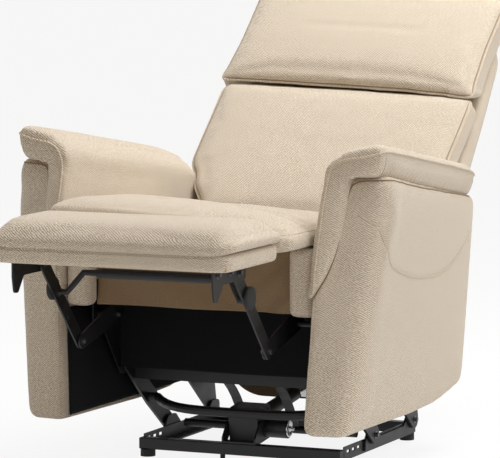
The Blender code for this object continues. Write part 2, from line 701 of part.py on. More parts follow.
def build_seat(mats, joint):
    wood = mats["wood"]
    low = SEAT_RAIL_TOP - SEAT_RAIL_HEIGHT
    for side, sign in SIDES:
        side_of_arm = arm_face(sign, -GAP)
        shape = rectangle(SEAT_FRONT_Y, SEAT_REAR_Y, low, SEAT_RAIL_TOP)
        rail = prism(shape, sign * SEAT_RAIL_IN, side_of_arm, "X")
        add_object(f"seat_rail_{side}", rail, wood, joint)
        shape = rectangle(STILE_FRONT_Y, SEAT_FRONT_Y - GAP, STILE_BOTTOM_Z, SEAT_CUSHION_Z - GAP)
        stile = prism(shape, sign * STILE_IN, side_of_arm, "X")
        soften(add_object(f"front_stile_{side}", stile, mats["fabric"], joint, 40), 0.005, 3)
        build_side_plate(side, sign, mats["steel"], joint)
    inner = SEAT_RAIL_IN - GAP
    front = box(-inner, inner, SEAT_FRONT_Y, SEAT_FRONT_Y + SEAT_CROSS_RAIL_T, low, SEAT_RAIL_TOP)
    add_object("seat_front_rail", front, wood, joint)
    inner = SIDE_PLATE_IN - GAP
    rear = box(-inner, inner, SEAT_REAR_Y - SEAT_CROSS_RAIL_T, SEAT_REAR_Y,
               SEAT_RAIL_TOP - SEAT_REAR_RAIL_HEIGHT, SEAT_RAIL_TOP)
    add_object("seat_rear_rail", rear, wood, joint)
    web_z = SEAT_RAIL_TOP + GAP
    web = box(-SEAT_RAIL_OUT, SEAT_RAIL_OUT, SEAT_FRONT_Y, SEAT_REAR_Y, web_z, web_z + WEBBING_T)
    add_object("seat_webbing", web, mats["cloth"], joint)
    half = STILE_IN - GAP
    flap = box(-half, half, SEAT_FRONT_Y - GAP - FLAP_T, SEAT_FRONT_Y - GAP, STILE_BOTTOM_Z, SEAT_RAIL_TOP)
    add_object("front_flap", flap, mats["lining"], joint)
    half = SIDE_PLATE_IN - GAP
    dust = box(-half, half, DUST_COVER_Y - FLAP_T, DUST_COVER_Y, DUST_COVER_BOTTOM_Z, DUST_COVER_TOP_Z)
    add_object("dust_cover", dust, mats["cloth"], joint)
    half_w = SEAT_CUSHION_W / 2
    corners = [(-half_w, SEAT_CUSHION_FRONT_Y, SEAT_FRONT_CORNER),
               (half_w, SEAT_CUSHION_FRONT_Y, SEAT_FRONT_CORNER),
               (half_w, SEAT_CUSHION_REAR_Y, SEAT_REAR_CORNER),
               (-half_w, SEAT_CUSHION_REAR_Y, SEAT_REAR_CORNER)]
    pad = cushion(corners, SEAT_CUSHION_Z, SEAT_CUSHION_SIDE, SEAT_CUSHION_CROWN)
    add_object("seat_cushion", pad, mats["fabric"], joint, 60)
    build_rear_flap(mats, joint)


def build_side_plate(side, sign, steel, joint):
    """Mechanism plate: carries the lift links, the footrest links and the back's hinge."""
    edge = SIDE_PLATE_EDGE
    bend = edge * 0.8
    bottom = LIFT_HIGH.z - edge
    corners = [(SIDE_PLATE_FRONT_Y, SIDE_PLATE_TOP_Z, bend / 2),
               (SIDE_PLATE_FRONT_Y, FOOT_PIVOT_Z - edge, bend),
               (FOOT_PIVOT_Y + edge, FOOT_PIVOT_Z - 1.5 * edge, bend),
               (LIFT_HIGH.y - edge, bottom, bend),
               (REAR_HIGH.y + edge, bottom, bend),
               (SIDE_PLATE_REAR_Y, BACK_HINGE_Z - edge, bend),
               (SIDE_PLATE_REAR_Y, SIDE_PLATE_TOP_Z, bend / 2)]
    start = SIDE_PLATE_IN + GAP
    pins = [(LIFT_HIGH, PIN_RADIUS, LIFT_LINK_IN, start), (REAR_HIGH, PIN_RADIUS, LIFT_LINK_IN, start),
            (FOOT_PIVOT, FOOT_PIN_RADIUS, REAR_LINK_IN, start),
            (BACK_HINGE, PIN_RADIUS, HINGE_LUG_IN, start)]
    plate(f"side_plate_{side}", rounded(corners), sign, SIDE_PLATE_IN, SIDE_PLATE_OUT, steel, joint,
          pins=pins)


def build_rear_flap(mats, joint):
    shape = rectangle(REAR_RAIL_Y, REAR_RAIL_Y + REAR_RAIL_T, REAR_RAIL_BOTTOM_Z,
                      REAR_RAIL_BOTTOM_Z + REAR_RAIL_HEIGHT)
    rail = prism(shape, arm_face(-1, -GAP), arm_face(1, -GAP), "X")
    add_object("rear_rail", rail, mats["wood"], joint)
    half = REAR_FLAP_W / 2
    top = REAR_RAIL_BOTTOM_Z + REAR_RAIL_HEIGHT
    shape = rounded([(-half, REAR_FLAP_BOTTOM_Z, REAR_FLAP_CORNER),
                     (half, REAR_FLAP_BOTTOM_Z, REAR_FLAP_CORNER),
                     (half, top, 0), (-half, top, 0)], arc=8)
    start = REAR_RAIL_Y + REAR_RAIL_T + GAP
    add_object("rear_flap", prism(shape, start, start + FLAP_T, "Y"), mats["lining"], joint)


def arm_stand(y, z):
    """How far the arm's leaning faces stand out at a place, beyond their lower front corner."""
    return ARM_LEAN * (z - ARM_BOTTOM_Z) - ARM_TOE * (y - ARM_FRONT_Y)


def arm_face(sign, distance):
    """Function of (y, z) for the arm's inner face, moved outward by a distance."""
    return lambda y, z: sign * (ARM_INNER_X + distance + arm_stand(y, z))


def arm_outside(y, z):
    """Distance of the arm's outer face from the middle plane."""
    share = (y - ARM_FRONT_Y) / (ARM_REAR_Y - ARM_FRONT_Y)
    flare = ARM_FLARE_FRONT + (ARM_FLARE_REAR - ARM_FLARE_FRONT) * share
    return ARM_INNER_X + ARM_T + (ARM_REAR_T - ARM_T) * share + flare * (z - ARM_BOTTOM_Z)


def arm_slant(z):
    """How far the front's outer edge lies behind its inner edge."""
    return ARM_SLANT_LOW + ARM_SLANT * (z - ARM_BOTTOM_Z)


def slant_front(body, sign):
    """Moves the outer corners of an arm's front rearward, no higher than its sloping top."""
    fall = (ARM_TOP_FRONT_Z - ARM_TOP_REAR_Z) / (ARM_TOP_REAR_Y - ARM_TOP_FRONT_Y)
    for vert in body.verts:
        y, z = vert.co.y, vert.co.z
        if y < ARM_TOP_FRONT_Y + GAP and abs(sign * vert.co.x - arm_outside(y, z)) < GAP:
            vert.co.y += arm_slant(z)
            vert.co.z = min(z, ARM_TOP_FRONT_Z - fall * (vert.co.y - ARM_TOP_FRONT_Y))
            vert.co.x = sign * arm_outside(vert.co.y, vert.co.z)


def build_arms(mats, joint):
    outline = [(ARM_FRONT_Y, ARM_BOTTOM_Z), (ARM_SAG_Y, ARM_BOTTOM_Z - ARM_SAG),
               (ARM_TURN_Y, ARM_BOTTOM_Z), (ARM_REAR_Y, ARM_BOTTOM_Z + ARM_REAR_RISE),
               (ARM_TOP_REAR_Y, ARM_TOP_REAR_Z), (ARM_TOP_FRONT_Y, ARM_TOP_FRONT_Z)]
    outline += [(ARM_TOP_FRONT_Y + (ARM_FRONT_Y - ARM_TOP_FRONT_Y) * forward,
                 ARM_TOP_FRONT_Z + (ARM_BOTTOM_Z - ARM_TOP_FRONT_Z) * down)
                for forward, down in ARM_FRONT_CURVE]
    for side, sign in SIDES:
        body = prism(outline, arm_face(sign, 0.0), lambda y, z: sign * arm_outside(y, z), "X")
        slant_front(body, sign)
        soften(add_object(f"arm_{side}", body, mats["fabric"], joint, 50), ARM_SOFTNESS, 3)
        build_arm_pad(side, sign, mats["fabric"], joint)


def build_arm_pad(side, sign, fabric, joint):
    """Pad along the arm's sloping top, thickest on its outer side."""
    fall = ARM_TOP_FRONT_Z - ARM_TOP_REAR_Z
    run = ARM_TOP_REAR_Y - ARM_TOP_FRONT_Y
    slope = math.atan2(fall, run)
    length = math.hypot(fall, run)
    sides = []
    for y, z in ((ARM_TOP_FRONT_Y, ARM_TOP_FRONT_Z), (ARM_TOP_REAR_Y, ARM_TOP_REAR_Z)):
        sides.append((ARM_INNER_X + arm_stand(y, z) - ARM_PAD_LIP, arm_outside(y, z) + ARM_PAD_OVERHANG))
    (front_in, front_out), (rear_in, rear_out) = sides
    end = length - ARM_PAD_SHORT
    ring = [(front_in, -ARM_PAD_NOSE), (front_out, arm_slant(ARM_TOP_FRONT_Z) - ARM_PAD_NOSE),
            (rear_out, end), (rear_in, end)]
    corners = [(sign * x, along, ARM_PAD_CORNER) for x, along in ring]
    pad = cushion(corners, GAP, ARM_PAD_T - ARM_PAD_CROWN, ARM_PAD_CROWN, draw=0.004, span=0.06)
    for vert in pad.verts:
        share = vert.co.y / length
        inner = front_in + (rear_in - front_in) * share
        outer = front_out + (rear_out - front_out) * share
        across = (sign * vert.co.x - inner) / (outer - inner)
        vert.co.z = GAP + (vert.co.z - GAP) * (1 + ARM_PAD_WEDGE * (2 * across - 1))
    bmesh.ops.rotate(pad, cent=(0, 0, 0), verts=pad.verts, matrix=Matrix.Rotation(-slope, 3, "X"))
    bmesh.ops.translate(pad, verts=pad.verts, vec=(0, ARM_TOP_FRONT_Y, ARM_TOP_FRONT_Z))
    add_object(f"arm_pad_{side}", pad, fabric, joint, 60)


# Recline drive

def build_recline(mats, joint, rod_joint):
    rear = SEAT_REAR_Y - SEAT_CROSS_RAIL_T - GAP
    front = rear - RECLINE_BOX_DEPTH
    half = RECLINE_BOX_W / 2
    low = RECLINE_Z - RECLINE_BOX_HEIGHT / 2
    case = box(-half, half, front, rear, low, low + RECLINE_BOX_HEIGHT)
    drive = add_object("recline_actuator", case, mats["plastic"], joint, 30)
    tube = rod_y(0, RECLINE_Z, RECLINE_TUBE_RADIUS, RECLINE_TUBE_FRONT_Y, front + LAP)
    combine(drive, add_object("recline_tube", tube, None, joint), "UNION")
    axis = Vector((0, (front + rear) / 2, RECLINE_Z))
    motor = rod_x(axis, RECLINE_MOTOR_RADIUS, half - LAP, half + RECLINE_MOTOR_LENGTH)
    combine(drive, add_object("recline_motor", motor, None, joint), "UNION")
    stop = RECLINE_TUBE_FRONT_Y + RECLINE_ROD_OVERLAP
    bore = rod_y(0, RECLINE_Z, ROD_RADIUS + RUN, RECLINE_TUBE_FRONT_Y - BORE_CLEAR, stop + BORE_CLEAR)
    combine(drive, add_object("recline_bore", bore, None, joint), "DIFFERENCE")
    tip = DRIVE_TUBE.y + DRIVE_TUBE_RADIUS + FORK_T
    rod = add_object("recline_rod", rod_y(0, RECLINE_Z, ROD_RADIUS, tip, stop), mats["bright"], rod_joint, 30)
    combine(rod, fork(rod_joint, DRIVE_TUBE.y, -1, DRIVE_TUBE_RADIUS, RECLINE_FORK_SLACK,
                      RECLINE_FORK_SLACK, RECLINE_Z), "UNION")


# Back

def back_corners(top, inset):
    """Outline in the back's plane: narrow at the hinges, wider between the arms, widest above."""
    wide = BACK_W / 2 - inset
    mid = BACK_MID_W / 2 - inset
    narrow = BACK_LOWER_W / 2 - inset
    low = BACK_FOOT_U + inset
    step = BACK_MID_U + inset
    shoulder = BACK_SHOULDER_U + inset
    tight = BACK_CORNER / 6
    right = [(narrow, low, BACK_CORNER), (narrow, step, tight), (mid, step, 2 * tight),
             (mid, shoulder, tight), (wide, shoulder, BACK_CORNER / 2), (wide, top, BACK_CORNER)]
    return right + [(-x, u, radius) for x, u, radius in right[::-1]]


def build_back(mats, joint):
    """Pieces in the back's plane: x across, y up the back, z toward the sitter."""
    board_half = HINGE_LUG_IN + HINGE_LUG_T / 4
    board = box(-board_half, board_half, BACK_FOOT_U, BACK_TOP_U - BOARD_SHORT, -BOARD_T, 0.0)
    frame = add_object("back_frame", board, mats["wood"], joint, 30)
    lug = link_outline((Vector((0, 0, 0)), LINK_END_RADIUS),
                       (Vector((0, BACK_FOOT_U + LUG_REACH, -BOARD_T / 2)), BOARD_T))
    for sign in (-1, 1):
        ends = sideways(sign, HINGE_LUG_IN, HINGE_LUG_OUT)
        combine(frame, add_object("hinge_lug", prism(lug, *ends, "X"), mats["steel"], joint), "UNION")
        hole = rod_x(Vector((0, 0, 0)), PIN_RADIUS + RUN, *sideways(sign, HINGE_LUG_IN - LAP,
                                                                    HINGE_LUG_OUT + SIDE / 2))
        combine(frame, add_object("hinge_hole", hole, None, joint), "DIFFERENCE")

    def rear_face(x, u):
        share = (u - BACK_FOOT_U) / (BACK_TOP_U - BACK_FOOT_U)
        return -BOARD_T - GAP - (SHELL_LOW_T + (SHELL_TOP_T - SHELL_LOW_T) * share)

    shell = prism(rounded(back_corners(BACK_TOP_U, 0.0), arc=4), rear_face, -BOARD_T - GAP, "Z")
    soften(add_object("back_shell", shell, mats["fabric"], joint, 50), 0.010, 3)
    lower = cushion(back_corners(BACK_CUSHION_TOP_U, 0.004), GAP, BACK_CUSHION_SIDE, BACK_CUSHION_CROWN, 0.006)
    add_object("back_cushion", lower, mats["fabric"], joint, 60)
    wide = BACK_W / 2
    start = BACK_CUSHION_TOP_U + SIDE
    corners = [(x, u, HEADREST_CORNER)
               for x, u in rectangle(-wide, wide, start, BACK_TOP_U)]
    pillow = cushion(corners, GAP, HEADREST_SIDE, HEADREST_CROWN)
    add_object("headrest_pillow", pillow, mats["fabric"], joint, 60)


# Footrest

def build_footrest(mats, rear_joint, front_joint, top_joint):
    steel = mats["steel"]
    rear_shape = link_outline((FOOT_PIVOT, FOOT_LINK_RADIUS), (FOOT_KNEE, FOOT_LINK_RADIUS),
                              (DRIVE_TUBE, DRIVE_TUBE_RADIUS * 1.4))
    front_shape = link_outline((FOOT_KNEE, FOOT_LINK_RADIUS), (FOOT_TOP, FOOT_LINK_RADIUS))
    hole = FOOT_PIN_RADIUS + RUN
    for side, sign in SIDES:
        knee_pin = (FOOT_KNEE, FOOT_PIN_RADIUS, REAR_LINK_OUT - GAP, FRONT_LINK_OUT)
        plate(f"footrest_rear_link_{side}", rear_shape, sign, REAR_LINK_IN, REAR_LINK_OUT, steel,
              rear_joint, [(FOOT_PIVOT, hole)], [knee_pin])
        plate(f"footrest_front_link_{side}", front_shape, sign, FRONT_LINK_IN, FRONT_LINK_OUT, steel,
              front_joint, [(FOOT_KNEE, hole), (FOOT_TOP, hole)])
        build_ottoman_bracket(side, sign, steel, top_joint)
    span = REAR_LINK_IN - GAP
    add_object("footrest_drive_tube", rod_x(DRIVE_TUBE, DRIVE_TUBE_RADIUS, -span, span), steel, rear_joint, 30)
    build_cross_tube(steel, front_joint)
    build_ottoman(mats, top_joint)


def build_cross_tube(steel, joint):
    """Stay between the front links: a thick middle, necked ends and two bent arms."""
    end = FRONT_LINK_IN - GAP
    reach = end - CROSS_TUBE_HALF
    half = [(end, CROSS_ARM_Y, CROSS_ARM_Z, CROSS_ARM_RADIUS),
            (end - 0.25 * reach, CROSS_ARM_Y, CROSS_ARM_Z, CROSS_ARM_RADIUS),
            (end - 0.45 * reach, (CROSS_ARM_Y + CROSS_TUBE_Y) / 2, (CROSS_ARM_Z + CROSS_TUBE_Z) / 2,
             CROSS_ARM_RADIUS),
            (end - 0.65 * reach, CROSS_TUBE_Y, CROSS_TUBE_Z, CROSS_ARM_RADIUS),
            (end - reach, CROSS_TUBE_Y, CROSS_TUBE_Z, CROSS_ARM_RADIUS),
            (end - reach - CROSS_NECK, CROSS_TUBE_Y, CROSS_TUBE_Z, CROSS_TUBE_RADIUS)]
    path = [(-x, y, z, r) for x, y, z, r in half] + half[::-1]
    swept_tube("footrest_cross_tube", [p[:3] for p in path], [p[3] for p in path], steel, joint)


def build_ottoman_bracket(side, sign, steel, joint):
    top = OTTOMAN_BOTTOM_Z - GAP
    rear = FOOT_TOP_Y + 2 * FOOT_LINK_RADIUS
    front = OTTOMAN_FRONT_Y + BRACKET_SHORT
    mid = top - BRACKET_DROP / 2
    low = top - BRACKET_DROP
    turn = HOOK_W * 0.45
    corners = [(rear, top, 0), (rear, mid, turn), (front + 3 * HOOK_W, mid, turn),
               (front + 1.4 * HOOK_W, low, turn), (front + 0.4 * HOOK_W, low, turn),
               (front, mid, turn), (front, top, 0)]
    pin = (FOOT_TOP, FOOT_PIN_RADIUS, FRONT_LINK_IN, BRACKET_IN + GAP)
    plate(f"ottoman_bracket_{side}", rounded(corners, arc=4), sign, BRACKET_IN, BRACKET_OUT, steel, joint,
          pins=[pin])


def build_ottoman(mats, joint):
    half = OTTOMAN_W / 2
    edge = OTTOMAN_BOARD_INSET
    board = box(-half + edge, half - edge, OTTOMAN_FRONT_Y + edge, OTTOMAN_REAR_Y - edge,
                OTTOMAN_BOTTOM_Z, OTTOMAN_BOTTOM_Z + OTTOMAN_BOARD_T)
    add_object("ottoman_board", board, mats["wood"], joint)
    corners = [(x, y, OTTOMAN_CORNER) for x, y in rectangle(-half, half, OTTOMAN_FRONT_Y, OTTOMAN_REAR_Y)]
    low = OTTOMAN_BOTTOM_Z + OTTOMAN_BOARD_T + GAP
    pad = cushion(corners, low, OTTOMAN_SIDE, OTTOMAN_CROWN)
    add_object("ottoman_pad", pad, mats["fabric"], joint, 60)


# Switch panel

def build_switch(mats, panel, buttons):
    """Panel lies flat on the arm's inner face: x into the arm, y along it, z up."""
    half_y = PANEL_LENGTH / 2
    half_z = PANEL_HEIGHT / 2
    shape = rounded([(y, z, PANEL_CORNER) for y, z in rectangle(-half_y, half_y, -half_z, half_z)])
    face = add_object("switch_panel", prism(shape, -GAP - PANEL_T, -GAP, "X"), mats["plastic"], panel)
    face.location = (0, 0, 0)
    for name, sign in (("button_out", -1), ("button_in", 1)):
        spot = Vector((0, sign * BUTTON_SPACING / 2, 0))
        hole = rod_x(spot, BUTTON_RADIUS + RUN, -PANEL_T * 2, PANEL_T)
        tool = add_object(name + "_hole", hole, None, panel)
        tool.location = (0, 0, 0)
        combine(face, tool, "DIFFERENCE")
        top = -PANEL_T - BUTTON_PROUD
        cap = rod_x(spot, BUTTON_RADIUS, top, -GAP * 2 - BUTTON_TRAVEL)
        button = add_object(name, cap, mats["rubber"], buttons[name], 30)
        button.location = (0, 0, 0)


def stand_at_middle(root):
    """Move the chair so that the middle of its footprint is over the origin."""
    bpy.context.view_layer.update()
    depsgraph = bpy.context.evaluated_depsgraph_get()
    along = []
    for obj in bpy.data.objects:
        if obj.type in {"MESH", "CURVE"} and not obj.hide_render:
            shape = obj.evaluated_get(depsgraph)
            mesh = shape.to_mesh()
            along += [(obj.matrix_world @ v.co).y for v in mesh.vertices]
            shape.to_mesh_clear()
    root.location.y = -(min(along) + max(along)) / 2
    bpy.context.view_layer.update()


def main():
    clear_scene()
    mats = make_materials()
    root = make_empty("chair_root", (0, 0, 0))
    base = make_empty("base", (0, 0, 0), root)
    front_lift = make_empty("joint_lift", LIFT_LOW, root)
    rear_lift = make_empty("joint_lift_rear", REAR_LOW, root)
    seat = make_empty("joint_seat", LIFT_HIGH, root)
    actuator = make_empty("joint_actuator", ACTUATOR_PIN, root, ACTUATOR_PITCH)
    rod = make_empty("joint_actuator_rod", ACTUATOR_PIN, root, ACTUATOR_PITCH)
    back = make_empty("joint_back", BACK_HINGE, root, math.radians(90 - BACK_LEAN))
    foot_rear = make_empty("joint_footrest", FOOT_PIVOT, root)
    foot_front = make_empty("joint_footrest_knee", FOOT_KNEE, root)
    foot_top = make_empty("joint_ottoman", FOOT_TOP, root)
    recline_rod = make_empty("joint_recline_rod", (0, DRIVE_TUBE.y, RECLINE_Z), root)
    build_base(mats, base)
    build_front_lift(mats, front_lift)
    build_rear_lift(mats, rear_lift)
    build_actuator(mats, actuator, rod)
    build_seat(mats, seat)
    build_arms(mats, seat)
    build_recline(mats, seat, recline_rod)
    build_back(mats, back)
    build_footrest(mats, foot_rear, foot_front, foot_top)
    panel = make_empty("switch_plane", (arm_face(1, 0.0)(PANEL_Y, PANEL_Z), PANEL_Y, PANEL_Z), root)
    normal = Vector((1.0, ARM_TOE, -ARM_LEAN)).normalized()
    panel.rotation_mode = "QUATERNION"
    panel.rotation_quaternion = Vector((1, 0, 0)).rotation_difference(normal)
    buttons = {name: make_empty("joint_" + name, (0, 0, 0), panel) for name in ("button_out", "button_in")}
    build_switch(mats, panel, buttons)
    stand_at_middle(root)


main()
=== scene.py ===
# %% [markdown]
# # A power recliner, upholstered in Blender
# The chair's frame is already packed: rails, links, actuators and plain solids for the cushions, each
# riding on a body with real joints. This lesson loads that frame and dresses it. Steel parts keep their
# solids and get a finish. Everything soft is made again here, as fabric over stuffing.

# %% Load the frame
import math

import bmesh
import bpy
import numpy as np
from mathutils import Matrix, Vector
from mathutils.bvhtree import BVHTree


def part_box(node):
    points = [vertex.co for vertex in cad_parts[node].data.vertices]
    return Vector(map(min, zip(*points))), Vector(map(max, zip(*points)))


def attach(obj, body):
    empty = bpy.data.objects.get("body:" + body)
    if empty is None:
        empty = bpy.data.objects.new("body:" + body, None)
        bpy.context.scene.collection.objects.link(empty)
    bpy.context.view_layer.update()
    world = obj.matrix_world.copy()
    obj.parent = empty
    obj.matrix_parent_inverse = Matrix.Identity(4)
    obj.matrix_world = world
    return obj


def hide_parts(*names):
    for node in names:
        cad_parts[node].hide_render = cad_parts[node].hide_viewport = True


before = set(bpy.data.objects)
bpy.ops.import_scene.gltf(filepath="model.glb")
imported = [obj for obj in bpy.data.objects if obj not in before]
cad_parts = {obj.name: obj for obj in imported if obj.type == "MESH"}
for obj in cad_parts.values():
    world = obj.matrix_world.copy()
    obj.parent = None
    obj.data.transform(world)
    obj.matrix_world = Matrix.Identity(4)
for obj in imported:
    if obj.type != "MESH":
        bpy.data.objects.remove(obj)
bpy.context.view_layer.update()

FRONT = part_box("base_front_tube")[0].y
print("nodes", len(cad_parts), "front tube at y", round(FRONT, 4))

# %% [markdown]
# ## Camera
# The photograph was taken from the front right, a little above the seat, with a long lens. Measured points
# of the base and arms gave the angle and distance. Numbers below count y from the base's front tube, so the
# tube's own place is added where a length enters the scene.

# %% Camera
PHOTO_W, PHOTO_H = 500, 458
FOCUS_PIXELS, MIDDLE_PIXEL, SENSOR = 3500, (264.34, 235.25), 36
VIEW_TURN, VIEW_DROP, VIEW_DISTANCE = 0.40666, 0.10211, 7.818
LOOK_AT = Vector((-0.0552, 0.2723 + FRONT, 0.4691))

scene = bpy.context.scene
forward = Vector((-math.sin(VIEW_TURN) * math.cos(VIEW_DROP), math.cos(VIEW_TURN) * math.cos(VIEW_DROP),
                  -math.sin(VIEW_DROP)))
lens = bpy.data.cameras.new("photo_camera")
lens.sensor_fit, lens.sensor_width, lens.clip_end = "HORIZONTAL", SENSOR, 200
lens.lens = FOCUS_PIXELS * SENSOR / PHOTO_W
lens.shift_x = (PHOTO_W / 2 - MIDDLE_PIXEL[0]) / PHOTO_W
lens.shift_y = (MIDDLE_PIXEL[1] - PHOTO_H / 2) / PHOTO_W
camera = bpy.data.objects.new("photo_camera", lens)
camera.location = LOOK_AT - VIEW_DISTANCE * forward
camera.rotation_euler = forward.to_track_quat("-Z", "Y").to_euler()
scene.collection.objects.link(camera)
scene.camera = camera
print("camera lens", round(lens.lens, 1), "mm at", [round(c, 3) for c in camera.location])

# %% [markdown]
# ## Floor and light
# A studio picture on white: one broad soft light above, a weaker one from the right, and white all round.
# Camera rays that miss the chair see plain white, and the floor is nearly white but still takes the shadow.

# %% Floor and light
WORLD_LEVEL, FILL_COLOUR, WHITE = 0.4, (1.0, 0.945, 0.88, 1), (1, 1, 1, 1)
FLOOR_SIZE, FLOOR_GLOW, FLOOR_PAPER = 60, 0.88, (0.95, 0.95, 0.95, 1)
scene.view_settings.view_transform = "Standard"


def feed(tree, socket, value):
    """Links a socket to another one or sets it to a constant; None leaves it as it is."""
    if isinstance(value, bpy.types.NodeSocket):
        tree.links.new(value, socket)
    elif value is not None:
        socket.default_value = value


def add_node(tree, kind, *inputs, **settings):
    """Adds a node; inputs are numbers or sockets in the node's own order."""
    node = tree.nodes.new(kind)
    for key, value in settings.items():
        setattr(node, key, value)
    for socket, value in zip(node.inputs, inputs):
        feed(tree, socket, value)
    return node


def plug(tree, node, **inputs):
    """Feeds a node's inputs by name, with _ for a space, and gives its outputs."""
    for title, value in inputs.items():
        feed(tree, node.inputs[title.replace("_", " ")], value)
    return node.outputs


def math_node(tree, operation, *inputs):
    return add_node(tree, "ShaderNodeMath", *inputs, operation=operation).outputs[0]


def seen_directly(tree):
    """1 for rays from the camera, from gloss and through glass, else 0."""
    path = add_node(tree, "ShaderNodeLightPath").outputs
    seen = math_node(tree, "MAXIMUM", path["Is Camera Ray"], path["Is Glossy Ray"])
    return math_node(tree, "MAXIMUM", seen, path["Is Transmission Ray"])


world = bpy.data.worlds.new("studio")
world.use_nodes = True
scene.world = world
sky = world.node_tree
direct = seen_directly(sky)
level = math_node(sky, "MULTIPLY_ADD", direct, 1 - WORLD_LEVEL, WORLD_LEVEL)
tint = add_node(sky, "ShaderNodeMix", direct, *[None] * 5, FILL_COLOUR, WHITE, data_type="RGBA")
plug(sky, sky.nodes["Background"], Color=tint.outputs[2], Strength=level)


def soft_light(name, place, size, power):
    lamp = bpy.data.lights.new(name, "AREA")
    lamp.shape, lamp.size, lamp.energy = "DISK", size, power
    light = bpy.data.objects.new(name, lamp)
    light.location = place
    light.rotation_euler = (LOOK_AT - Vector(place)).to_track_quat("-Z", "Y").to_euler()
    scene.collection.objects.link(light)


soft_light("overhead", (0.8, 0.6, 3.5), 2.6, 106)
soft_light("right_side", (3.4, -0.6, 2.3), 2.2, 19)

far = FLOOR_SIZE / 2
floor_mesh = bpy.data.meshes.new("floor")
floor_mesh.from_pydata([(-far, -far, 0), (far, -far, 0), (far, far, 0), (-far, far, 0)], [], [(0, 1, 2, 3)])
floor = bpy.data.objects.new("floor", floor_mesh)
scene.collection.objects.link(floor)
floor_paint = bpy.data.materials.new("floor_paper")
floor_paint.use_nodes = True
tree = floor_paint.node_tree
paper = add_node(tree, "ShaderNodeBsdfDiffuse", FLOOR_PAPER)
glow = add_node(tree, "ShaderNodeEmission", WHITE, 1.0)
share = math_node(tree, "MULTIPLY", seen_directly(tree), FLOOR_GLOW)
both = add_node(tree, "ShaderNodeMixShader", share, paper.outputs[0], glow.outputs[0])
plug(tree, tree.nodes["Material Output"], Surface=both.outputs[0])
floor_mesh.materials.append(floor_paint)
print("floor", FLOOR_SIZE, "m, world level", WORLD_LEVEL)

# %% [markdown]
# ## Upholstery fabric
# The cover is a chunky woven cloth in warm beige: pale and darker yarns cross in a broken diagonal twill, so it
# looks speckled from afar. A picture of cloth could be pasted on, but a pattern made of nodes stays sharp
# at any distance. It reads a UV map in metres, called weave, that each piece gets when its shape is final.

# %% Fabric finishes


def new_finish(name, **sockets):
    """A material, its tree and its shader, whose own inputs the sockets set."""
    finish = bpy.data.materials.new(name)
    finish.use_nodes = True
    tree = finish.node_tree
    shader = tree.nodes["Principled BSDF"]
    plug(tree, shader, **sockets)
    return finish, tree, shader


def ramp(tree, factor, stops):
    node = add_node(tree, "ShaderNodeValToRGB", factor)
    elements = node.color_ramp.elements
    for element, (position, colour) in zip(elements, (stops[0], stops[-1])):
        element.position, element.color = position, (*colour, 1)
    for position, colour in stops[1:-1]:
        elements.new(position).color = (*colour, 1)
    return node.outputs[0]


def noise(tree, place, scale, detail=2.0, rough=0.5):
    node = add_node(tree, "ShaderNodeTexNoise")
    return plug(tree, node, Vector=place, Scale=scale, Detail=detail, Roughness=rough)["Fac"]


def bump(tree, shader, height, strength, distance):
    node = add_node(tree, "ShaderNodeBump")
    bumpy = plug(tree, node, Strength=strength, Distance=distance, Height=height)
    plug(tree, shader, Normal=bumpy[0])


def weighted(tree, *pairs):
    """Adds up sockets, each times its weight."""
    total = 0.0
    for socket, weight in pairs:
        total = math_node(tree, "MULTIPLY_ADD", socket, weight, total)
    return total


def woven_finish(name, dark, middle, light, pitch, depth):
    """Cloth with a faint diagonal, long dashes of yarn, flecks and slubs."""
    finish, tree, shader = new_finish(name, Roughness=0.92, Sheen_Weight=0.25, Sheen_Roughness=0.5,
                                      Specular_IOR_Level=0.25)
    flat = add_node(tree, "ShaderNodeUVMap", uv_map="weave").outputs[0]
    axes = add_node(tree, "ShaderNodeSeparateXYZ", flat).outputs
    slope = weighted(tree, (axes[0], 0.6), (axes[1], 1.0), (noise(tree, flat, 60), 0.006))
    twill = math_node(tree, "SINE", math_node(tree, "MULTIPLY", slope, 1.8 * math.pi / pitch))
    mapping = add_node(tree, "ShaderNodeMapping", flat)
    dash = plug(tree, mapping, Rotation=(0, 0, -0.54), Scale=(0.75, 1, 1))[0]
    yarn = noise(tree, dash, 1.12 / pitch, 2.0, 0.6)
    fleck, slub = noise(tree, flat, 2.6 / pitch, 1.0), noise(tree, flat, 26)
    shade = weighted(tree, (twill, 0.14), (yarn, 0.8), (fleck, 0.35), (slub, 0.07))
    shade = math_node(tree, "ADD", shade, -0.11)
    plug(tree, shader, Base_Color=ramp(tree, shade, [(0.42, dark), (0.5, middle), (0.58, light)]))
    bump(tree, shader, weighted(tree, (twill, 0.3), (yarn, 1.0)), 0.5, depth)
    return finish


fabric = woven_finish("beige_weave", (0.42, 0.325, 0.23), (0.64, 0.545, 0.42), (0.82, 0.745, 0.63), 0.0038, 0.0012)
welt_fabric = woven_finish("beige_piping", (0.44, 0.345, 0.245), (0.63, 0.53, 0.405), (0.8, 0.72, 0.6),
                           0.004, 0.0006)
lining = woven_finish("tan_lining", (0.19, 0.125, 0.068), (0.26, 0.175, 0.1), (0.33, 0.23, 0.135), 0.0025, 0.0004)
print("fabrics", [m.name for m in (fabric, welt_fabric, lining)])

# %% [markdown]
# ## Steel, plastic, rubber and board
# The mechanism is powder-coated black, a satin paint with a fine orange-peel skin. Plastic is matter and
# grained, rubber duller still. The two rods are bright drawn steel, and the boards are pale pine. These parts
# keep their solids, so the patterns read Object coordinates, which on these solids are metres of the chair.

# %% Hard finishes


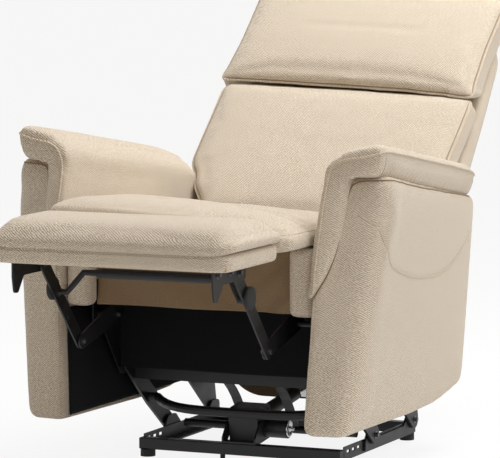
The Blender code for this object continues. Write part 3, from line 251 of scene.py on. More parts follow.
def skin_finish(name, colour, grain, grain_scale, depth, rough_low, rough_high, **sockets):
    """A coat with a fine skin: small noise for the bump, wide noise for tone and gloss."""
    finish, tree, shader = new_finish(name, **sockets)
    place = add_node(tree, "ShaderNodeTexCoord").outputs["Object"]
    wide = noise(tree, place, 22, 3.0)
    pale = tuple(c * grain for c in colour)
    rough = math_node(tree, "MULTIPLY_ADD", wide, rough_high - rough_low, rough_low)
    plug(tree, shader, Base_Color=ramp(tree, wide, [(0.3, colour), (0.75, pale)]), Roughness=rough)
    bump(tree, shader, noise(tree, place, grain_scale), 0.25, depth)
    return finish


def board_finish():
    finish, tree, shader = new_finish("pine_ply", Roughness=0.7)
    place = add_node(tree, "ShaderNodeTexCoord").outputs["Object"]
    stretched = plug(tree, add_node(tree, "ShaderNodeMapping", place), Scale=(3, 60, 60))[0]
    grain = noise(tree, stretched, 2.0, 6.0, 0.6)
    plug(tree, shader, Base_Color=ramp(tree, grain, [(0.35, (0.42, 0.27, 0.14)), (0.65, (0.62, 0.44, 0.26))]))
    bump(tree, shader, grain, 0.15, 0.0005)
    return finish


powder_coat = skin_finish("black_powder_coat", (0.0065, 0.0065, 0.007), 1.9, 700, 0.0004, 0.36, 0.58,
                          Specular_IOR_Level=0.4)
moulded = skin_finish("black_moulding", (0.01, 0.01, 0.011), 1.4, 1100, 0.0003, 0.42, 0.62)
rubber = skin_finish("black_rubber_foot", (0.014, 0.014, 0.014), 1.5, 500, 0.0004, 0.7, 0.9)
bright = skin_finish("drawn_steel", (0.52, 0.52, 0.53), 1.2, 900, 0.0001, 0.18, 0.34, Metallic=1.0)
zinc = skin_finish("dark_zinc_bolt", (0.1, 0.1, 0.105), 1.5, 600, 0.0002, 0.34, 0.5, Metallic=1.0)
black_cloth = skin_finish("black_dust_cloth", (0.004, 0.004, 0.0045), 1.8, 420, 0.0008, 0.8, 0.95,
                          Specular_IOR_Level=0.2)
HARD = {"black_steel": powder_coat, "bright_steel": bright, "black_plastic": moulded, "black_rubber": rubber,
        "board": board_finish(), "black_cloth": black_cloth, "fabric": fabric, "lining": lining}
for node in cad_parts.values():
    for held in node.material_slots:
        held.material = HARD[held.material.name.split(".")[0]]
print("finished", len(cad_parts), "solids")

# %% [markdown]
# ## Working shapes
# Each soft piece starts as a loft: a stack of rings, joined by quads and closed at both ends. A stack gives
# control over where a seam pulls in and where the stuffing crowns. The weave map is laid on afterwards, from
# whichever side a face looks to, as cloth panels are cut and sewn.

# %% Lofts and the weave map
UPRIGHT = np.eye(3)


def between(value, low, high):
    """0 up to low, 1 from high on, and a straight run between them."""
    return np.clip((value - low) / (high - low), 0, 1)


def resample(line, count, closed=True):
    """The same line with evenly spaced points."""
    line = np.asarray(line, float)
    path = np.vstack([line, line[:1]]) if closed else line
    reach = np.concatenate([[0], np.cumsum(np.linalg.norm(np.diff(path, axis=0), axis=1))])
    marks = np.linspace(0, reach[-1], count, endpoint=not closed)
    return np.stack([np.interp(marks, reach, path[:, k]) for k in range(path.shape[1])], axis=1)


def ease(line, turns, closed=True):
    """Rounds a line's corners by averaging neighbours."""
    line = np.asarray(line, float)
    for _ in range(turns):
        even = (np.roll(line, 1, axis=0) + 2 * line + np.roll(line, -1, axis=0)) / 4
        if not closed:
            even[0], even[-1] = line[0], line[-1]
        line = even
    return line


def open_line(points, count, turns=0):
    """An open line with evenly spaced points and eased corners."""
    return ease(resample(points, count, closed=False), turns, closed=False)


def round_rectangle(half_a, half_b, radii, steps=9, side=12):
    """A closed loop from the corner (-a, -b), anticlockwise; radii are of its four corners."""
    corners = [(-half_a, -half_b), (half_a, -half_b), (half_a, half_b), (-half_a, half_b)]
    loop = []
    for k, ((a, b), r) in enumerate(zip(corners, radii)):
        turn = math.pi + k * math.pi / 2 + np.arange(steps + 1) * math.pi / 2 / steps
        loop += [(a - math.copysign(r, a) + r * math.cos(t), b - math.copysign(r, b) + r * math.sin(t)) for t in turn]
    return resample(loop, 4 * (steps + side))


def drawn_in(loop, inset):
    """The loop pulled towards its middle by about inset."""
    middle = (loop.max(0) + loop.min(0)) / 2
    half = (loop.max(0) - loop.min(0)) / 2
    return middle + (loop - middle) * np.maximum(1 - inset / half, 0.02)


def loft(rings):
    """Points and faces of rings joined in a row, with a fan of faces at each end."""
    count = len(rings[0])
    points = np.vstack(rings + [rings[0].mean(0)[None], rings[-1].mean(0)[None]])
    faces = [(k * count + i, k * count + (i + 1) % count, (k + 1) * count + (i + 1) % count, (k + 1) * count + i)
             for k in range(len(rings) - 1) for i in range(count)]
    first, last, end = len(points) - 2, len(points) - 1, (len(rings) - 1) * count
    faces += [((i + 1) % count, i, first) for i in range(count)]
    faces += [(end + i, end + (i + 1) % count, last) for i in range(count)]
    return points, faces


def placed(points):
    """Points counted from the front tube, as points of the scene."""
    return np.asarray(points, float) + np.array([0, FRONT, 0])


def smooth_faces(mesh, smooth=True):
    mesh.polygons.foreach_set("use_smooth", [smooth] * len(mesh.polygons))


def make_piece(name, points, faces, finish, closed=True):
    """A mesh object at the origin; y is counted from the front tube."""
    mesh = bpy.data.meshes.new(name)
    mesh.from_pydata(placed(points).tolist(), [], faces)
    if closed:
        shape = bmesh.new()
        shape.from_mesh(mesh)
        bmesh.ops.remove_doubles(shape, verts=shape.verts, dist=1e-6)
        bmesh.ops.recalc_face_normals(shape, faces=shape.faces)
        shape.to_mesh(mesh)
        shape.free()
    mesh.materials.append(finish)
    smooth_faces(mesh)
    piece = bpy.data.objects.new(name, mesh)
    scene.collection.objects.link(piece)
    return piece


def settle(piece):
    """Turns a piece with modifiers into a plain mesh."""
    graph = bpy.context.evaluated_depsgraph_get()
    plain = bpy.data.meshes.new_from_object(piece.evaluated_get(graph))
    piece.modifiers.clear()
    piece.data = plain
    smooth_faces(plain)
    return piece


def read(items, key, width=3, kind=float):
    """One value of all points, faces or corners, a row for each."""
    flat = np.empty(width * len(items), kind)
    items.foreach_get(key, flat)
    return flat.reshape(-1, width) if width > 1 else flat


def set_points(piece, points):
    piece.data.vertices.foreach_set("co", np.asarray(points, float).ravel())
    piece.data.update()


def lay_weave(piece, axes=UPRIGHT):
    """A UV map in metres: each face takes the two axes that it lies along most."""
    mesh = piece.data
    facing = np.abs(read(mesh.polygons, "normal") @ axes.T).argmax(1)
    side = np.repeat(facing, read(mesh.polygons, "loop_total", 1, int))
    local = (read(mesh.vertices, "co") @ axes.T)[read(mesh.loops, "vertex_index", 1, int)]
    rows = np.arange(len(local))
    flat = np.stack([local[rows, np.where(side == 0, 1, 0)], local[rows, np.where(side == 2, 1, 2)]], axis=1)
    mesh.uv_layers.new(name="weave").data.foreach_set("uv", flat.ravel())
    return piece


def wear(piece, body, material_slot, *nodes):
    """The piece rides a body and stands for nodes; material_slot is not used."""
    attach(piece, body)
    if nodes:
        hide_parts(*nodes)
    print(piece.name, "on", body, len(piece.data.polygons), "faces")
    return piece


def upholster(piece, body, fill, *nodes, axes=UPRIGHT):
    """Weave and body of a padded piece, which stands for nodes; fill is not used."""
    wear(lay_weave(piece, axes), body, "fabric", *nodes)


print("shapes start as lofts, with y counted from", round(FRONT, 4))

# %% [markdown]
# ## Stuffing
# A real cushion is a sewn case pushed out from inside. Cloth with air pressure does the same: the lofted case
# is remeshed into even quads, blown up for twenty frames without gravity, and no point may move further than
# a cap, so the piece stays in its place on the frame. Grooves for seams are pressed in afterwards.

# %% Swelling and seams
PRESSURE, PRESSURE_FRAMES = 4.0, 20


def swell(piece, voxel, cap, smooth=4):
    """Remeshes a case and blows it up: no point moves inwards or further than cap; 0 blows nothing up."""
    remesh = piece.modifiers.new("even_quads", "REMESH")
    remesh.mode, remesh.voxel_size = "VOXEL", voxel
    settle(piece)
    if cap:
        start, normals = read(piece.data.vertices, "co"), read(piece.data.vertices, "normal")
        cloth = piece.modifiers.new("stuffing", "CLOTH")
        cloth.settings.use_pressure = True
        cloth.settings.uniform_pressure_force = PRESSURE
        cloth.settings.effector_weights.gravity = 0
        cloth.settings.quality = 4
        for step in range(1, PRESSURE_FRAMES + 1):
            scene.frame_set(step)
        blown = piece.evaluated_get(bpy.context.evaluated_depsgraph_get())
        step = read(blown.to_mesh().vertices, "co") - start
        blown.to_mesh_clear()
        piece.modifiers.clear()
        scene.frame_set(1)
        step -= normals * np.minimum((step * normals).sum(1, keepdims=True), 0)
        length = np.linalg.norm(step, axis=1, keepdims=True)
        set_points(piece, start + step * np.minimum(1, cap / np.maximum(length, 1e-9)))
    even = piece.modifiers.new("even", "SMOOTH")
    even.factor, even.iterations = 0.5, smooth
    finer = piece.modifiers.new("finer", "SUBSURF")
    finer.levels = finer.render_levels = 1
    return settle(piece)


def distance_to(points, line):
    """Each point's distance to a line of short straight runs."""
    best = np.full(len(points), np.inf)
    for a, b in zip(line[:-1], line[1:]):
        run = b - a
        t = np.clip(((points - a) @ run) / max(run @ run, 1e-12), 0, 1)
        best = np.minimum(best, np.linalg.norm(points - a - t[:, None] * run, axis=1))
    return best


def press_seam(piece, line, width, depth):
    """Pulls the surface in along a line, as a row of stitching does."""
    points, normals = read(piece.data.vertices, "co"), read(piece.data.vertices, "normal")
    near = 1 - between(distance_to(points, line), 0, width)
    set_points(piece, points - normals * (depth * near ** 2)[:, None])


def surface_of(piece):
    return BVHTree.FromObject(piece, bpy.context.evaluated_depsgraph_get())


def dropped_on(piece, points):
    """Where each point, let fall from far above, meets the piece."""
    surface, down = surface_of(piece), Vector((0, 0, -1))
    hits = [surface.ray_cast(Vector(p) - down * 0.6, down)[0] or surface.find_nearest(Vector(p))[0] for p in points]
    return np.array(hits)


def laid_on(piece, line, lift=0.0, gap=0.006):
    """A line moved onto the nearest surface of the piece, raised by lift, with points about gap apart."""
    surface = surface_of(piece)
    length = np.linalg.norm(np.diff(line, axis=0), axis=1).sum()
    spots = [surface.find_nearest(Vector(p)) for p in open_line(line, max(int(length / gap), 4))]
    return ease(np.array([spot + normal * lift for spot, normal, _, _ in spots]), 3, closed=False)


print("pressure", PRESSURE, "for", PRESSURE_FRAMES, "frames")

# %% [markdown]
# ## Seat cushion
# A boxed foam cushion: a flat underside, low sides and a soft crown. The profile lists how far each ring is
# drawn in and how high it stands. A recliner's seat is fullest under the knees and sinks towards the back, so sides
# and crown fade rearwards. It sits a little askew: it leans to the right, and its left front corner stands out.

# %% Seat cushion
SEAT_HALF_W, SEAT_FRONT, SEAT_REAR = 0.28, -0.378, 0.232
SEAT_BASE, SEAT_SIDE, SEAT_CROWN = 0.5055, 0.046, 0.032
SEAT_LEAN, SEAT_EAR, SOFT, SQUARE = 0.045, 0.016, 2.6, 9.0
SEAT_Y = [SEAT_FRONT, -0.27, -0.1, 0.05, SEAT_REAR]
SIDE_BY, CROWN_BY = [1, 1, 0.88, 0.68, 0.45], [1, 1, 0.85, 0.45, 0.14]
SEAT_PROFILE = [(0.2, 0), (0.1, 0), (0.03, 0), (0.01, 0.003), (0.002, 0.014), (0, 0.026), (0.001, 0.036),
                (0.005, 0.043), (0.011, SEAT_SIDE)]
SEAT_CREASES = [[(0.03, -0.14), (0.087, -0.171), (0.124, -0.194), (0.157, -0.2), (0.193, -0.212), (0.243, -0.233)],
                [(0.165, -0.232), (0.202, -0.244), (0.238, -0.265), (0.262, -0.262)],
                [(-0.24, -0.2), (-0.18, -0.175), (-0.11, -0.165)], [(-0.2, 0.02), (-0.05, 0.05), (0.12, 0.03)]]


def pillow(loop, profile, crown, top_insets, square_left=SOFT, square_ends=SOFT):
    """Rings for a cushion: the profile up its side, then in over a crown that may be squarer than soft."""
    rings = [np.column_stack([drawn_in(loop, inset), np.full(len(loop), height)]) for inset, height in profile]
    middle, half = (loop.max(0) + loop.min(0)) / 2, (loop.max(0) - loop.min(0)) / 2
    edge, top = profile[-1]
    for inset in top_insets:
        flat = drawn_in(loop, edge + inset)
        across, along = np.clip(np.abs((flat - middle) / half), 0, 1).T
        power = np.where(flat[:, 0] > middle[0], SOFT, square_left)
        rise = np.sqrt((1 - across ** power) * (1 - along ** square_ends))
        rings.append(np.column_stack([flat, top + crown * rise]))
    return rings


seat_loop = round_rectangle(SEAT_HALF_W, (SEAT_REAR - SEAT_FRONT) / 2, (0.026, 0.026, 0.03, 0.03))
seat_loop[:, 1] += (SEAT_REAR + SEAT_FRONT) / 2
seat_rings = pillow(seat_loop, [(i, SEAT_BASE + h) for i, h in SEAT_PROFILE], SEAT_CROWN,
                    (0.006, 0.014, 0.026, 0.044, 0.07, 0.105, 0.15, 0.2), SQUARE, SQUARE)
for ring in seat_rings:
    ring[:, 0] -= SEAT_EAR * between(-ring[:, 1], 0.25, 0.33) * between(-ring[:, 0], 0, SEAT_HALF_W)
    up = ring[:, 2] - SEAT_BASE
    side = np.minimum(up, SEAT_SIDE)
    lean = SEAT_LEAN * ring[:, 0] * side / SEAT_SIDE
    ring[:, 2] = (SEAT_BASE + side * np.interp(ring[:, 1], SEAT_Y, SIDE_BY) - lean
                  + (up - side) * np.interp(ring[:, 1], SEAT_Y, CROWN_BY))
seat_cushion = make_piece("seat_cushion_cover", *loft(seat_rings), fabric)
swell(seat_cushion, 0.0075, 0.006)
for crease in SEAT_CREASES:
    line = open_line([(x, y, 0.8) for x, y in crease], 30, 6)
    press_seam(seat_cushion, dropped_on(seat_cushion, placed(line)), 0.022, 0.0045)
upholster(seat_cushion, "seat", 0.8, "seat_cushion")

# %% [markdown]
# ## Back shell
# The shell behind the cushions is a padded tray. Back pieces are drawn flat, in widths across the chair, lengths
# up the back and depth off its board, and then turned onto the reclined back, which is easier than modelling aslant.

# %% Back shell
BACK_HINGE = np.array([0, 0.3, 0.43])
BACK_UP, BACK_OUT = np.array([0, 0.766, 0.643]), np.array([0, -0.643, 0.766])
BACK_AXES = np.array([[1, 0, 0], BACK_UP, BACK_OUT])
SHELL_REAR_LOW, SHELL_REAR_HIGH, SHELL_FRONT = -0.1033, -0.0433, -0.008
SHELL_LOW, SHELL_LONG = 0.045, 0.775
SHELL_RINGS = [(0.2, 0.03), (0.1, 0.01), (0.05, 0.0), (0.02, 0.06), (0.008, 0.2), (0.0, 0.45), (0.0, 0.7),
               (0.004, 0.9), (0.012, 1.0), (0.04, 1.0), (0.15, 1.0)]


def on_back(rings):
    """Rings of (across, up, out) as points of the chair."""
    return [BACK_HINGE + ring @ BACK_AXES for ring in rings]


def half_loop(half, count, turns):
    """A closed loop with eased corners from its right half, listed upwards."""
    half = np.array(half)
    return ease(resample(np.vstack([half, half[::-1] * [-1, 1]]), count), turns)


def shell_ring(inset, share):
    flat = drawn_in(shell_loop, inset)
    rear = SHELL_REAR_LOW + (SHELL_REAR_HIGH - SHELL_REAR_LOW) * (flat[:, 1] - SHELL_LOW) / SHELL_LONG
    return np.column_stack([flat, rear + (SHELL_FRONT - rear) * share])


shell_loop = half_loop([(0.0, SHELL_LOW), (0.236, SHELL_LOW), (0.243, 0.12), (0.272, 0.14), (0.274, 0.215),
                        (0.319, 0.24), (0.32, 0.3), (0.311, 0.48), (0.299, 0.655), (0.291, 0.69), (0.273, 0.712),
                        (0.266, 0.74), (0.264, 0.79), (0.25, 0.812), (0.0, 0.818)], 200, 3)
shell_rings = on_back([shell_ring(*ring) for ring in SHELL_RINGS])
back_shell = make_piece("back_shell_cover", *loft(shell_rings), fabric)
upholster(back_shell, "back", 0.9, "back_shell", axes=BACK_AXES)

# %% [markdown]
# ## Back cushion
# The cushion fills the lower two thirds of the back and narrows where it sinks between the arms. Loose cushions
# never hang quite level: this one and the headrest drop a little towards the right, which a shift of each ring does.

# %% Back cushion
HANG = 0.05
CUSHION_PROFILE = [(0.1, 0.0), (0.03, 0.0), (0.01, 0.003), (0.003, 0.012), (0.002, 0.03), (0.0, 0.044),
                   (0.0, 0.048), (0.005, 0.053)]
cushion_loop = half_loop([(0.0, 0.052), (0.236, 0.052), (0.252, 0.1), (0.289, 0.15), (0.291, 0.183), (0.319, 0.215),
                          (0.325, 0.475), (0.0, 0.478)], 190, 3)
cushion_rings = pillow(cushion_loop, CUSHION_PROFILE, 0.016, (0.006, 0.016, 0.032, 0.055, 0.09, 0.13, 0.17))
for ring in cushion_rings:
    ring[:, 0] *= 1 - 0.032 * between(ring[:, 2], 0.012, 0.048)
    ring[:, 1] -= HANG * ring[:, 0] * between(ring[:, 1], 0.2, 0.4)
cushion_rings = on_back(cushion_rings)
back_cushion = make_piece("back_cushion_cover", *loft(cushion_rings), fabric)
swell(back_cushion, 0.0075, 0.006)
upholster(back_cushion, "back", 0.75, "back_cushion", axes=BACK_AXES)

# %% [markdown]
# ## Headrest pillow
# The pillow hangs over the cushion's top edge with a corded hem. Its underside is tucked up behind that hem, so
# only the cord and a dark crease show from the front, and its right-hand corner droops.

# %% Headrest pillow
HEM_TUCK, HEM_OUT, HEM_DROOP, HEAD_SHIFT = 0.06, 0.056, 0.012, 0.006
HEAD_PROFILE = [(0.1, 0.0), (0.03, 0.0), (0.01, 0.003), (0.004, 0.012), (0.003, 0.03), (0.001, 0.05),
                (0.0, HEM_OUT), (0.004, 0.061)]
head_loop = half_loop([(0.0, 0.483), (0.333, 0.483), (0.322, 0.52), (0.317, 0.62), (0.32, 0.79), (0.303, 0.815),
                       (0.0, 0.818)], 190, 2)
head_loop[:, 0] -= HEAD_SHIFT
head_rings = pillow(head_loop, HEAD_PROFILE, 0.03, (0.006, 0.016, 0.03, 0.052, 0.085, 0.12, 0.15))
for ring in head_rings:
    ring[:, 0] *= 1 - 0.022 * between(ring[:, 2], 0.012, HEM_OUT)
    across, up, out = ring.T.copy()
    tuck = (1 - between(up, 0.486, 0.546)) * between(across, -0.325, -0.275) * (1 - between(out, 0, HEM_OUT))
    droop = (1 - between(up, 0.51, 0.66)) * between(across, 0.1, 0.32) ** 1.5
    ring[:, 1] += HEM_TUCK * tuck - HEAD_SHIFT - HANG * across - HEM_DROOP * droop
head_rings = on_back(head_rings)
headrest = make_piece("headrest_cover", *loft(head_rings), fabric)
swell(headrest, 0.0065, 0.006)
upholster(headrest, "back", 0.75, "headrest_pillow", axes=BACK_AXES)

# %% [markdown]
# ## Footboard pad
# The pad is a pillow sewn to a flat band that wraps the board's edge. Along the front the seam is only a line,
# but at both ends the pillow runs out to a thin edge over a deep crease. Band and pillow are therefore two pieces,
# and the pillow's rings thin out and rise towards the ends.

# %% Footboard pad
PAD_HALF_W, PAD_HALF_D, PAD_MIDDLE = 0.268, 0.133, -0.5195
PILLOW_LOW, PILLOW_THICK, END_RISE, END_THIN = 0.5225, 0.0565, 0.01, 0.45
BAND_RINGS = [(0.09, 0.4918), (0.04, 0.4918), (0.008, 0.4915), (0.001, 0.494), (-0.001, 0.502), (-0.001, 0.513),
              (-0.001, 0.52), (0.0, 0.525), (0.006, 0.527), (0.05, 0.527), (0.09, 0.527)]
PILLOW_RINGS = [(0.1, 0.09, 0.02), (0.04, 0.03, 0.0), (0.01, 0.004, 0.0), (0.003, 0.0005, 0.05),
                (0.0, -0.001, 0.16), (-0.002, 0.0, 0.3), (0.001, 0.007, 0.48), (0.008, 0.017, 0.66),
                (0.016, 0.03, 0.8), (0.026, 0.045, 0.9), (0.04, 0.063, 0.96), (0.062, 0.083, 0.99),
                (0.1, 0.103, 1.0), (0.14, 0.12, 1.0)]


def board_loop(front_r, rear_r, end_inset, inset):
    """The footboard's outline, with its own inset at the ends."""
    loop = round_rectangle(PAD_HALF_W, PAD_HALF_D, (front_r, front_r, rear_r, rear_r))
    return np.column_stack([loop[:, 0] * (1 - end_inset / PAD_HALF_W),
                            PAD_MIDDLE + loop[:, 1] * (1 - inset / PAD_HALF_D)])


def band_ring(inset, z):
    flat = board_loop(0.022, 0.012, inset + 0.0055, inset + 0.003)
    return np.column_stack([flat, np.full(len(flat), z)])


def pillow_ring(end_inset, inset, share):
    flat = board_loop(0.04, 0.008, end_inset - 0.004, inset)
    end = between(np.abs(flat[:, 0]), 0.236, 0.272)
    end = end * end * (3 - 2 * end)
    return np.column_stack([flat, PILLOW_LOW + END_RISE * end + PILLOW_THICK * (1 - END_THIN * end) * share])


band = make_piece("footboard_band_cover", *loft([band_ring(*ring) for ring in BAND_RINGS]), fabric)
swell(band, 0.0055, 0, smooth=2)
upholster(band, "ottoman", 0.9)
ottoman = make_piece("footboard_pad_cover", *loft([pillow_ring(*ring) for ring in PILLOW_RINGS]), fabric)
swell(ottoman, 0.0055, 0.005, smooth=3)
upholster(ottoman, "ottoman", 0.75, "ottoman_pad")

# %% [markdown]
# ## Arms
# Each arm is an upholstered box that leans outwards, with a curved lower edge. Seen from above its front slants
# back to a soft outer corner. It is lofted across its thickness: every ring is the arm's side view, the rings near
# both faces are drawn in, and one warp then slants the front, so that the pad can share it.

# %% Arm boxes
SIDES = (("right", 1), ("left", -1))
RISE = {1: 0.0, -1: 0.012}
ARM_SIDE_VIEW = [(-0.304, 0.118), (0.1, 0.112), (0.26, 0.118), (0.41, 0.144), (0.442, 0.561), (-0.205, 0.656),
                 (-0.2357, 0.629), (-0.2644, 0.559), (-0.2872, 0.449)]
ARM_BOTTOM, ARM_FRONT, ARM_LENGTH, TOP_FRONT = 0.118, -0.304, 0.714, -0.227
FRONT_Z = [0.118, 0.4, 0.449, 0.559, 0.629, 0.656, 0.69, 0.75]
FRONT_Y = [-0.304, -0.29, -0.2885, -0.266, -0.2405, -0.23, TOP_FRONT, -0.222]
SLANT_Z = [0.118, 0.174, 0.408, 0.58, 0.656, 0.7, 0.75]
SLANT_BY = [0.012, 0.015, 0.04, 0.046, 0.022, 0.014, 0.012]
CORNER_R = [0.03, 0.032, 0.036, 0.034, 0.018, 0.01, 0.01]
BED_SHARE, BED_DEEP, EDGE_KEPT = [0, 0.36, 0.48, 0.85], [0.013, 0.013, 0.008, 0], 0.016
ARM_RINGS = [(0.0, 0.12, -0.001), (0.0, 0.05, -0.001), (0.0, 0.014, 0.0), (0.03, 0.005, 0.0), (0.09, 0.001, 0)]
ARM_RINGS += [(share, 0, 0) for share in (0.18, 0.3, 0.42, 0.53, 0.62, 0.7, 0.77, 0.83)]
ARM_RINGS += [(0.88, 0.001, 0), (0.92, 0.002, 0), (0.955, 0.005, 0), (0.98, 0.009, 0), (1.0, 0.016, 0),
              (1.0, 0.03, 0.003), (1.0, 0.05, 0.005), (1.0, 0.08, 0.007), (1.0, 0.12, 0.008), (1.0, 0.17, 0.009)]
POCKET = [(0.366, -0.217, 0.573), (0.374, -0.216, 0.569), (0.397, -0.207, 0.552), (0.406, -0.203, 0.531),
          (0.412, -0.195, 0.508), (0.417, -0.185, 0.484), (0.416, -0.153, 0.464), (0.409, -0.096, 0.446),
          (0.403, -0.026, 0.429), (0.395, 0.052, 0.418), (0.39, 0.126, 0.413), (0.387, 0.189, 0.415),
          (0.386, 0.243, 0.422), (0.385, 0.288, 0.438), (0.383, 0.333, 0.455), (0.38, 0.373, 0.473),
          (0.376, 0.402, 0.488), (0.373, 0.428, 0.505)]


def arm_inner(y, z):
    return 0.2735 + 0.05 * (z - ARM_BOTTOM) - 0.012 * (y - ARM_FRONT)


def arm_outer(y, z):
    back = (y - ARM_FRONT) / ARM_LENGTH
    return 0.368 - 0.0125 * back + (0.13 - 0.085 * back) * (z - ARM_BOTTOM)


def front_line(z):
    """How far forward the arm's inner front edge reaches at a height."""
    return np.interp(z, FRONT_Z, FRONT_Y)


def arm_top(y):
    return 0.656 - 0.1468 * (np.maximum(y, TOP_FRONT) + 0.205)


def slanted(points):
    """Slants an arm's front back towards its outer side and rounds its outer corner."""
    x, y, z = np.asarray(points, float).T
    share = between(x, arm_inner(y, z), arm_outer(y, z))
    radius = np.interp(z, SLANT_Z, CORNER_R)
    turn = between(share, 1 - radius / (arm_outer(y, z) - arm_inner(y, z)), 1)
    slant = np.interp(z, SLANT_Z, SLANT_BY) * share + radius * (1 - np.sqrt(1 - 0.985 * turn ** 2))
    near = 1 - between(y - front_line(z), 0, 0.3)
    return np.column_stack([x, y + slant * near ** 1.5, z])


def arm_ring(share, inset, bulge, way):
    """The side view at a share of the thickness; the band's bed at the front lies deeper."""
    y, z = drawn_in(arm_loop, inset).T
    fore = 1 - between(y - front_line(z), 0, 0.1)
    bed = np.interp(share, BED_SHARE, BED_DEEP) * between(z, 0.4, 0.45)
    y = y + (bed - min(inset, EDGE_KEPT) * (share > 0.5)) * fore
    out = bulge + 0.013 * share * between(z, 0.3, 0.55) * (1 - between(z, 0.58, 0.63)) * fore
    out = out + 0.012 * share * between(y, -0.1, 0.35)
    x = arm_inner(y, z) * (1 - share) + arm_outer(y, z) * share + out
    ring = slanted(np.column_stack([x, y, z])) * [way, 1, 1]
    ring[:, 2] += RISE[way] * between(z, 0.45, 0.6)
    return ring


def pocket_line(arm, way, lift=0.0):
    """The curved seam on an arm's outer side."""
    return laid_on(arm, placed(open_line(np.array(POCKET) * [way, 1, 1], 90)), lift)


arm_loop = ease(resample(ARM_SIDE_VIEW, 220), 3)
arms = {}
for side, way in SIDES:
    arm = make_piece(f"arm_cover_{side}", *loft([arm_ring(*ring, way) for ring in ARM_RINGS]), fabric)
    swell(arm, 0.0085, 0, smooth=3)
    press_seam(arm, pocket_line(arm, way), 0.01, 0.0015)
    upholster(arm, "seat", 0.9, f"arm_{side}")
    arms[side] = arm

# %% [markdown]
# ## Arm pads
# The pad is a thick layer saddled over the arm: its panel runs on down the inner face without a seam, and a
# boxing band shows its thickness on the outer side. At the front the band turns down the inner edge and runs out
# to a point. The saddle and that falling band are two lofts, melted into one by the remesh before stuffing. The
# two arms were not stuffed alike: in the photograph the left one stands a little higher and fuller.

# %% Arm pads
PAD_REAR, PAD_INNER_T, PAD_OUTER_T, PAD_LIP = 0.414, 0.04, 0.074, 0.004
PAD_OVERHANG, PAD_RIDGE, PAD_EDGE = ([0, 1], [0.022, -0.011]), 0.018, 0.04
PAD_STATIONS = (0, 0.012, 0.035, 0.09, 0.17, 0.26, 0.35, 0.44, 0.53, 0.62, 0.71, 0.79, 0.86, 0.92, 0.96, 0.982,
                0.994, 1.0)
PAD_SWELL = ([0, 0.02, 0.06, 0.3, 0.7, 0.955, 0.985, 1], [0.74, 0.9, 1.0, 1.04, 1.04, 1.0, 0.95, 0.86])
PAD_FULLNESS = {1: 0.88, -1: 0.95}
PAD_BOXING = [(0.001, 0.036), (0.005, 0.022), (0.01, 0.008), (0.015, 0.001)]
FALL_Z = (0.654, 0.648, 0.63, 0.6, 0.57, 0.54, 0.51, 0.485, 0.462, 0.442, 0.425, 0.412, 0.403)
FALL_W = ([0.403, 0.425, 0.45, 0.49, 0.54, 0.6, 0.7], [0.006, 0.018, 0.031, 0.042, 0.048, 0.05, 0.052])


def pad_height(share):
    """Thickness across the pad, before its edges are rounded."""
    return PAD_INNER_T + (PAD_OUTER_T - PAD_INNER_T) * share + 0.005 * np.sin(math.pi * share)


def pad_station(t, way):
    """Place along the arm, height of its top and fullness at a share t from the pad's rear."""
    y = PAD_REAR + (TOP_FRONT - PAD_REAR) * t
    return y, arm_top(y) + RISE[way], np.interp(t, *PAD_SWELL) * PAD_FULLNESS[way]


def pad_place(t, z):
    """How far back a share t of the pad lies at a height."""
    return PAD_REAR + (front_line(z) - PAD_REAR) * t


def saddle_ring(t, way):
    """The pad's cross-section: up the inner panel, over the top, down the boxing and back underneath."""
    y0, z0, full = pad_station(t, way)
    near = arm_inner(y0, z0) - PAD_LIP
    far = arm_outer(y0, z0) + np.interp(t, *PAD_OVERHANG) - 0.02 * max(1 - np.interp(t, *PAD_SWELL), 0)
    wide = far - near
    top, ridge = z0 + pad_height(0.12) * full, z0 + pad_height(0.93) * full
    ring = [(arm_inner(y0, z) - PAD_LIP, z) for z in (0.47, 0.5, 0.53, 0.56, 0.59)]
    ring += [(near, z0 - 0.02), (near, z0)]
    ring += [(near + PAD_EDGE * (1 - math.cos(a)), top - PAD_EDGE * (1 - math.sin(a)) * 1.1)
             for a in np.radians((0, 22, 45, 65, 82))]
    ring += [(near + wide * s, z0 + pad_height(s) * full) for s in np.linspace(0.32, 0.87, 8)]
    ring += [(far - PAD_RIDGE * (1 - math.cos(a)), ridge - PAD_RIDGE * (1 - math.sin(a)))
             for a in np.radians((78, 52, 28, 8))]
    ring += [(far - inset, z0 + height) for inset, height in PAD_BOXING]
    ring += [(near + wide * s, z0 - 0.004) for s in np.linspace(0.85, 0.15, 7)]
    ring += [(arm_inner(y0, z) + 0.008, z) for z in (0.6, 0.57, 0.54, 0.51, 0.47)]
    x, z = np.array(ring).T
    return slanted(np.column_stack([x, pad_place(t, z), z])) * [way, 1, 1]


def fall_ring(z, way):
    """The band down the inner front edge, at one height."""
    z = z + RISE[way] * between(z, 0.6, 0.65)
    wide = np.interp(z, *FALL_W)
    soft = min(0.012, wide / 2.5)
    deep = front_line(z)
    near = arm_inner(deep, z) - PAD_LIP
    ring = [(near, deep + 0.05), (near, deep + 0.03), (near, deep + soft)]
    ring += [(near + soft * (1 - math.cos(a)), deep + soft * (1 - math.sin(a))) for a in np.radians((25, 50, 75))]
    ring += [(near + soft + (wide - 1.6 * soft) * s, deep - 0.002 * math.sin(math.pi * s)) for s in (0, 0.3, 0.7, 1)]
    ring += [(near + wide - 0.2 * soft, deep + 0.3 * soft), (near + wide, deep + soft), (near + wide, deep + 0.022),
             (near + 0.9 * wide, deep + 0.05)]
    return slanted(np.column_stack([ring, np.full(len(ring), z)])) * [way, 1, 1]


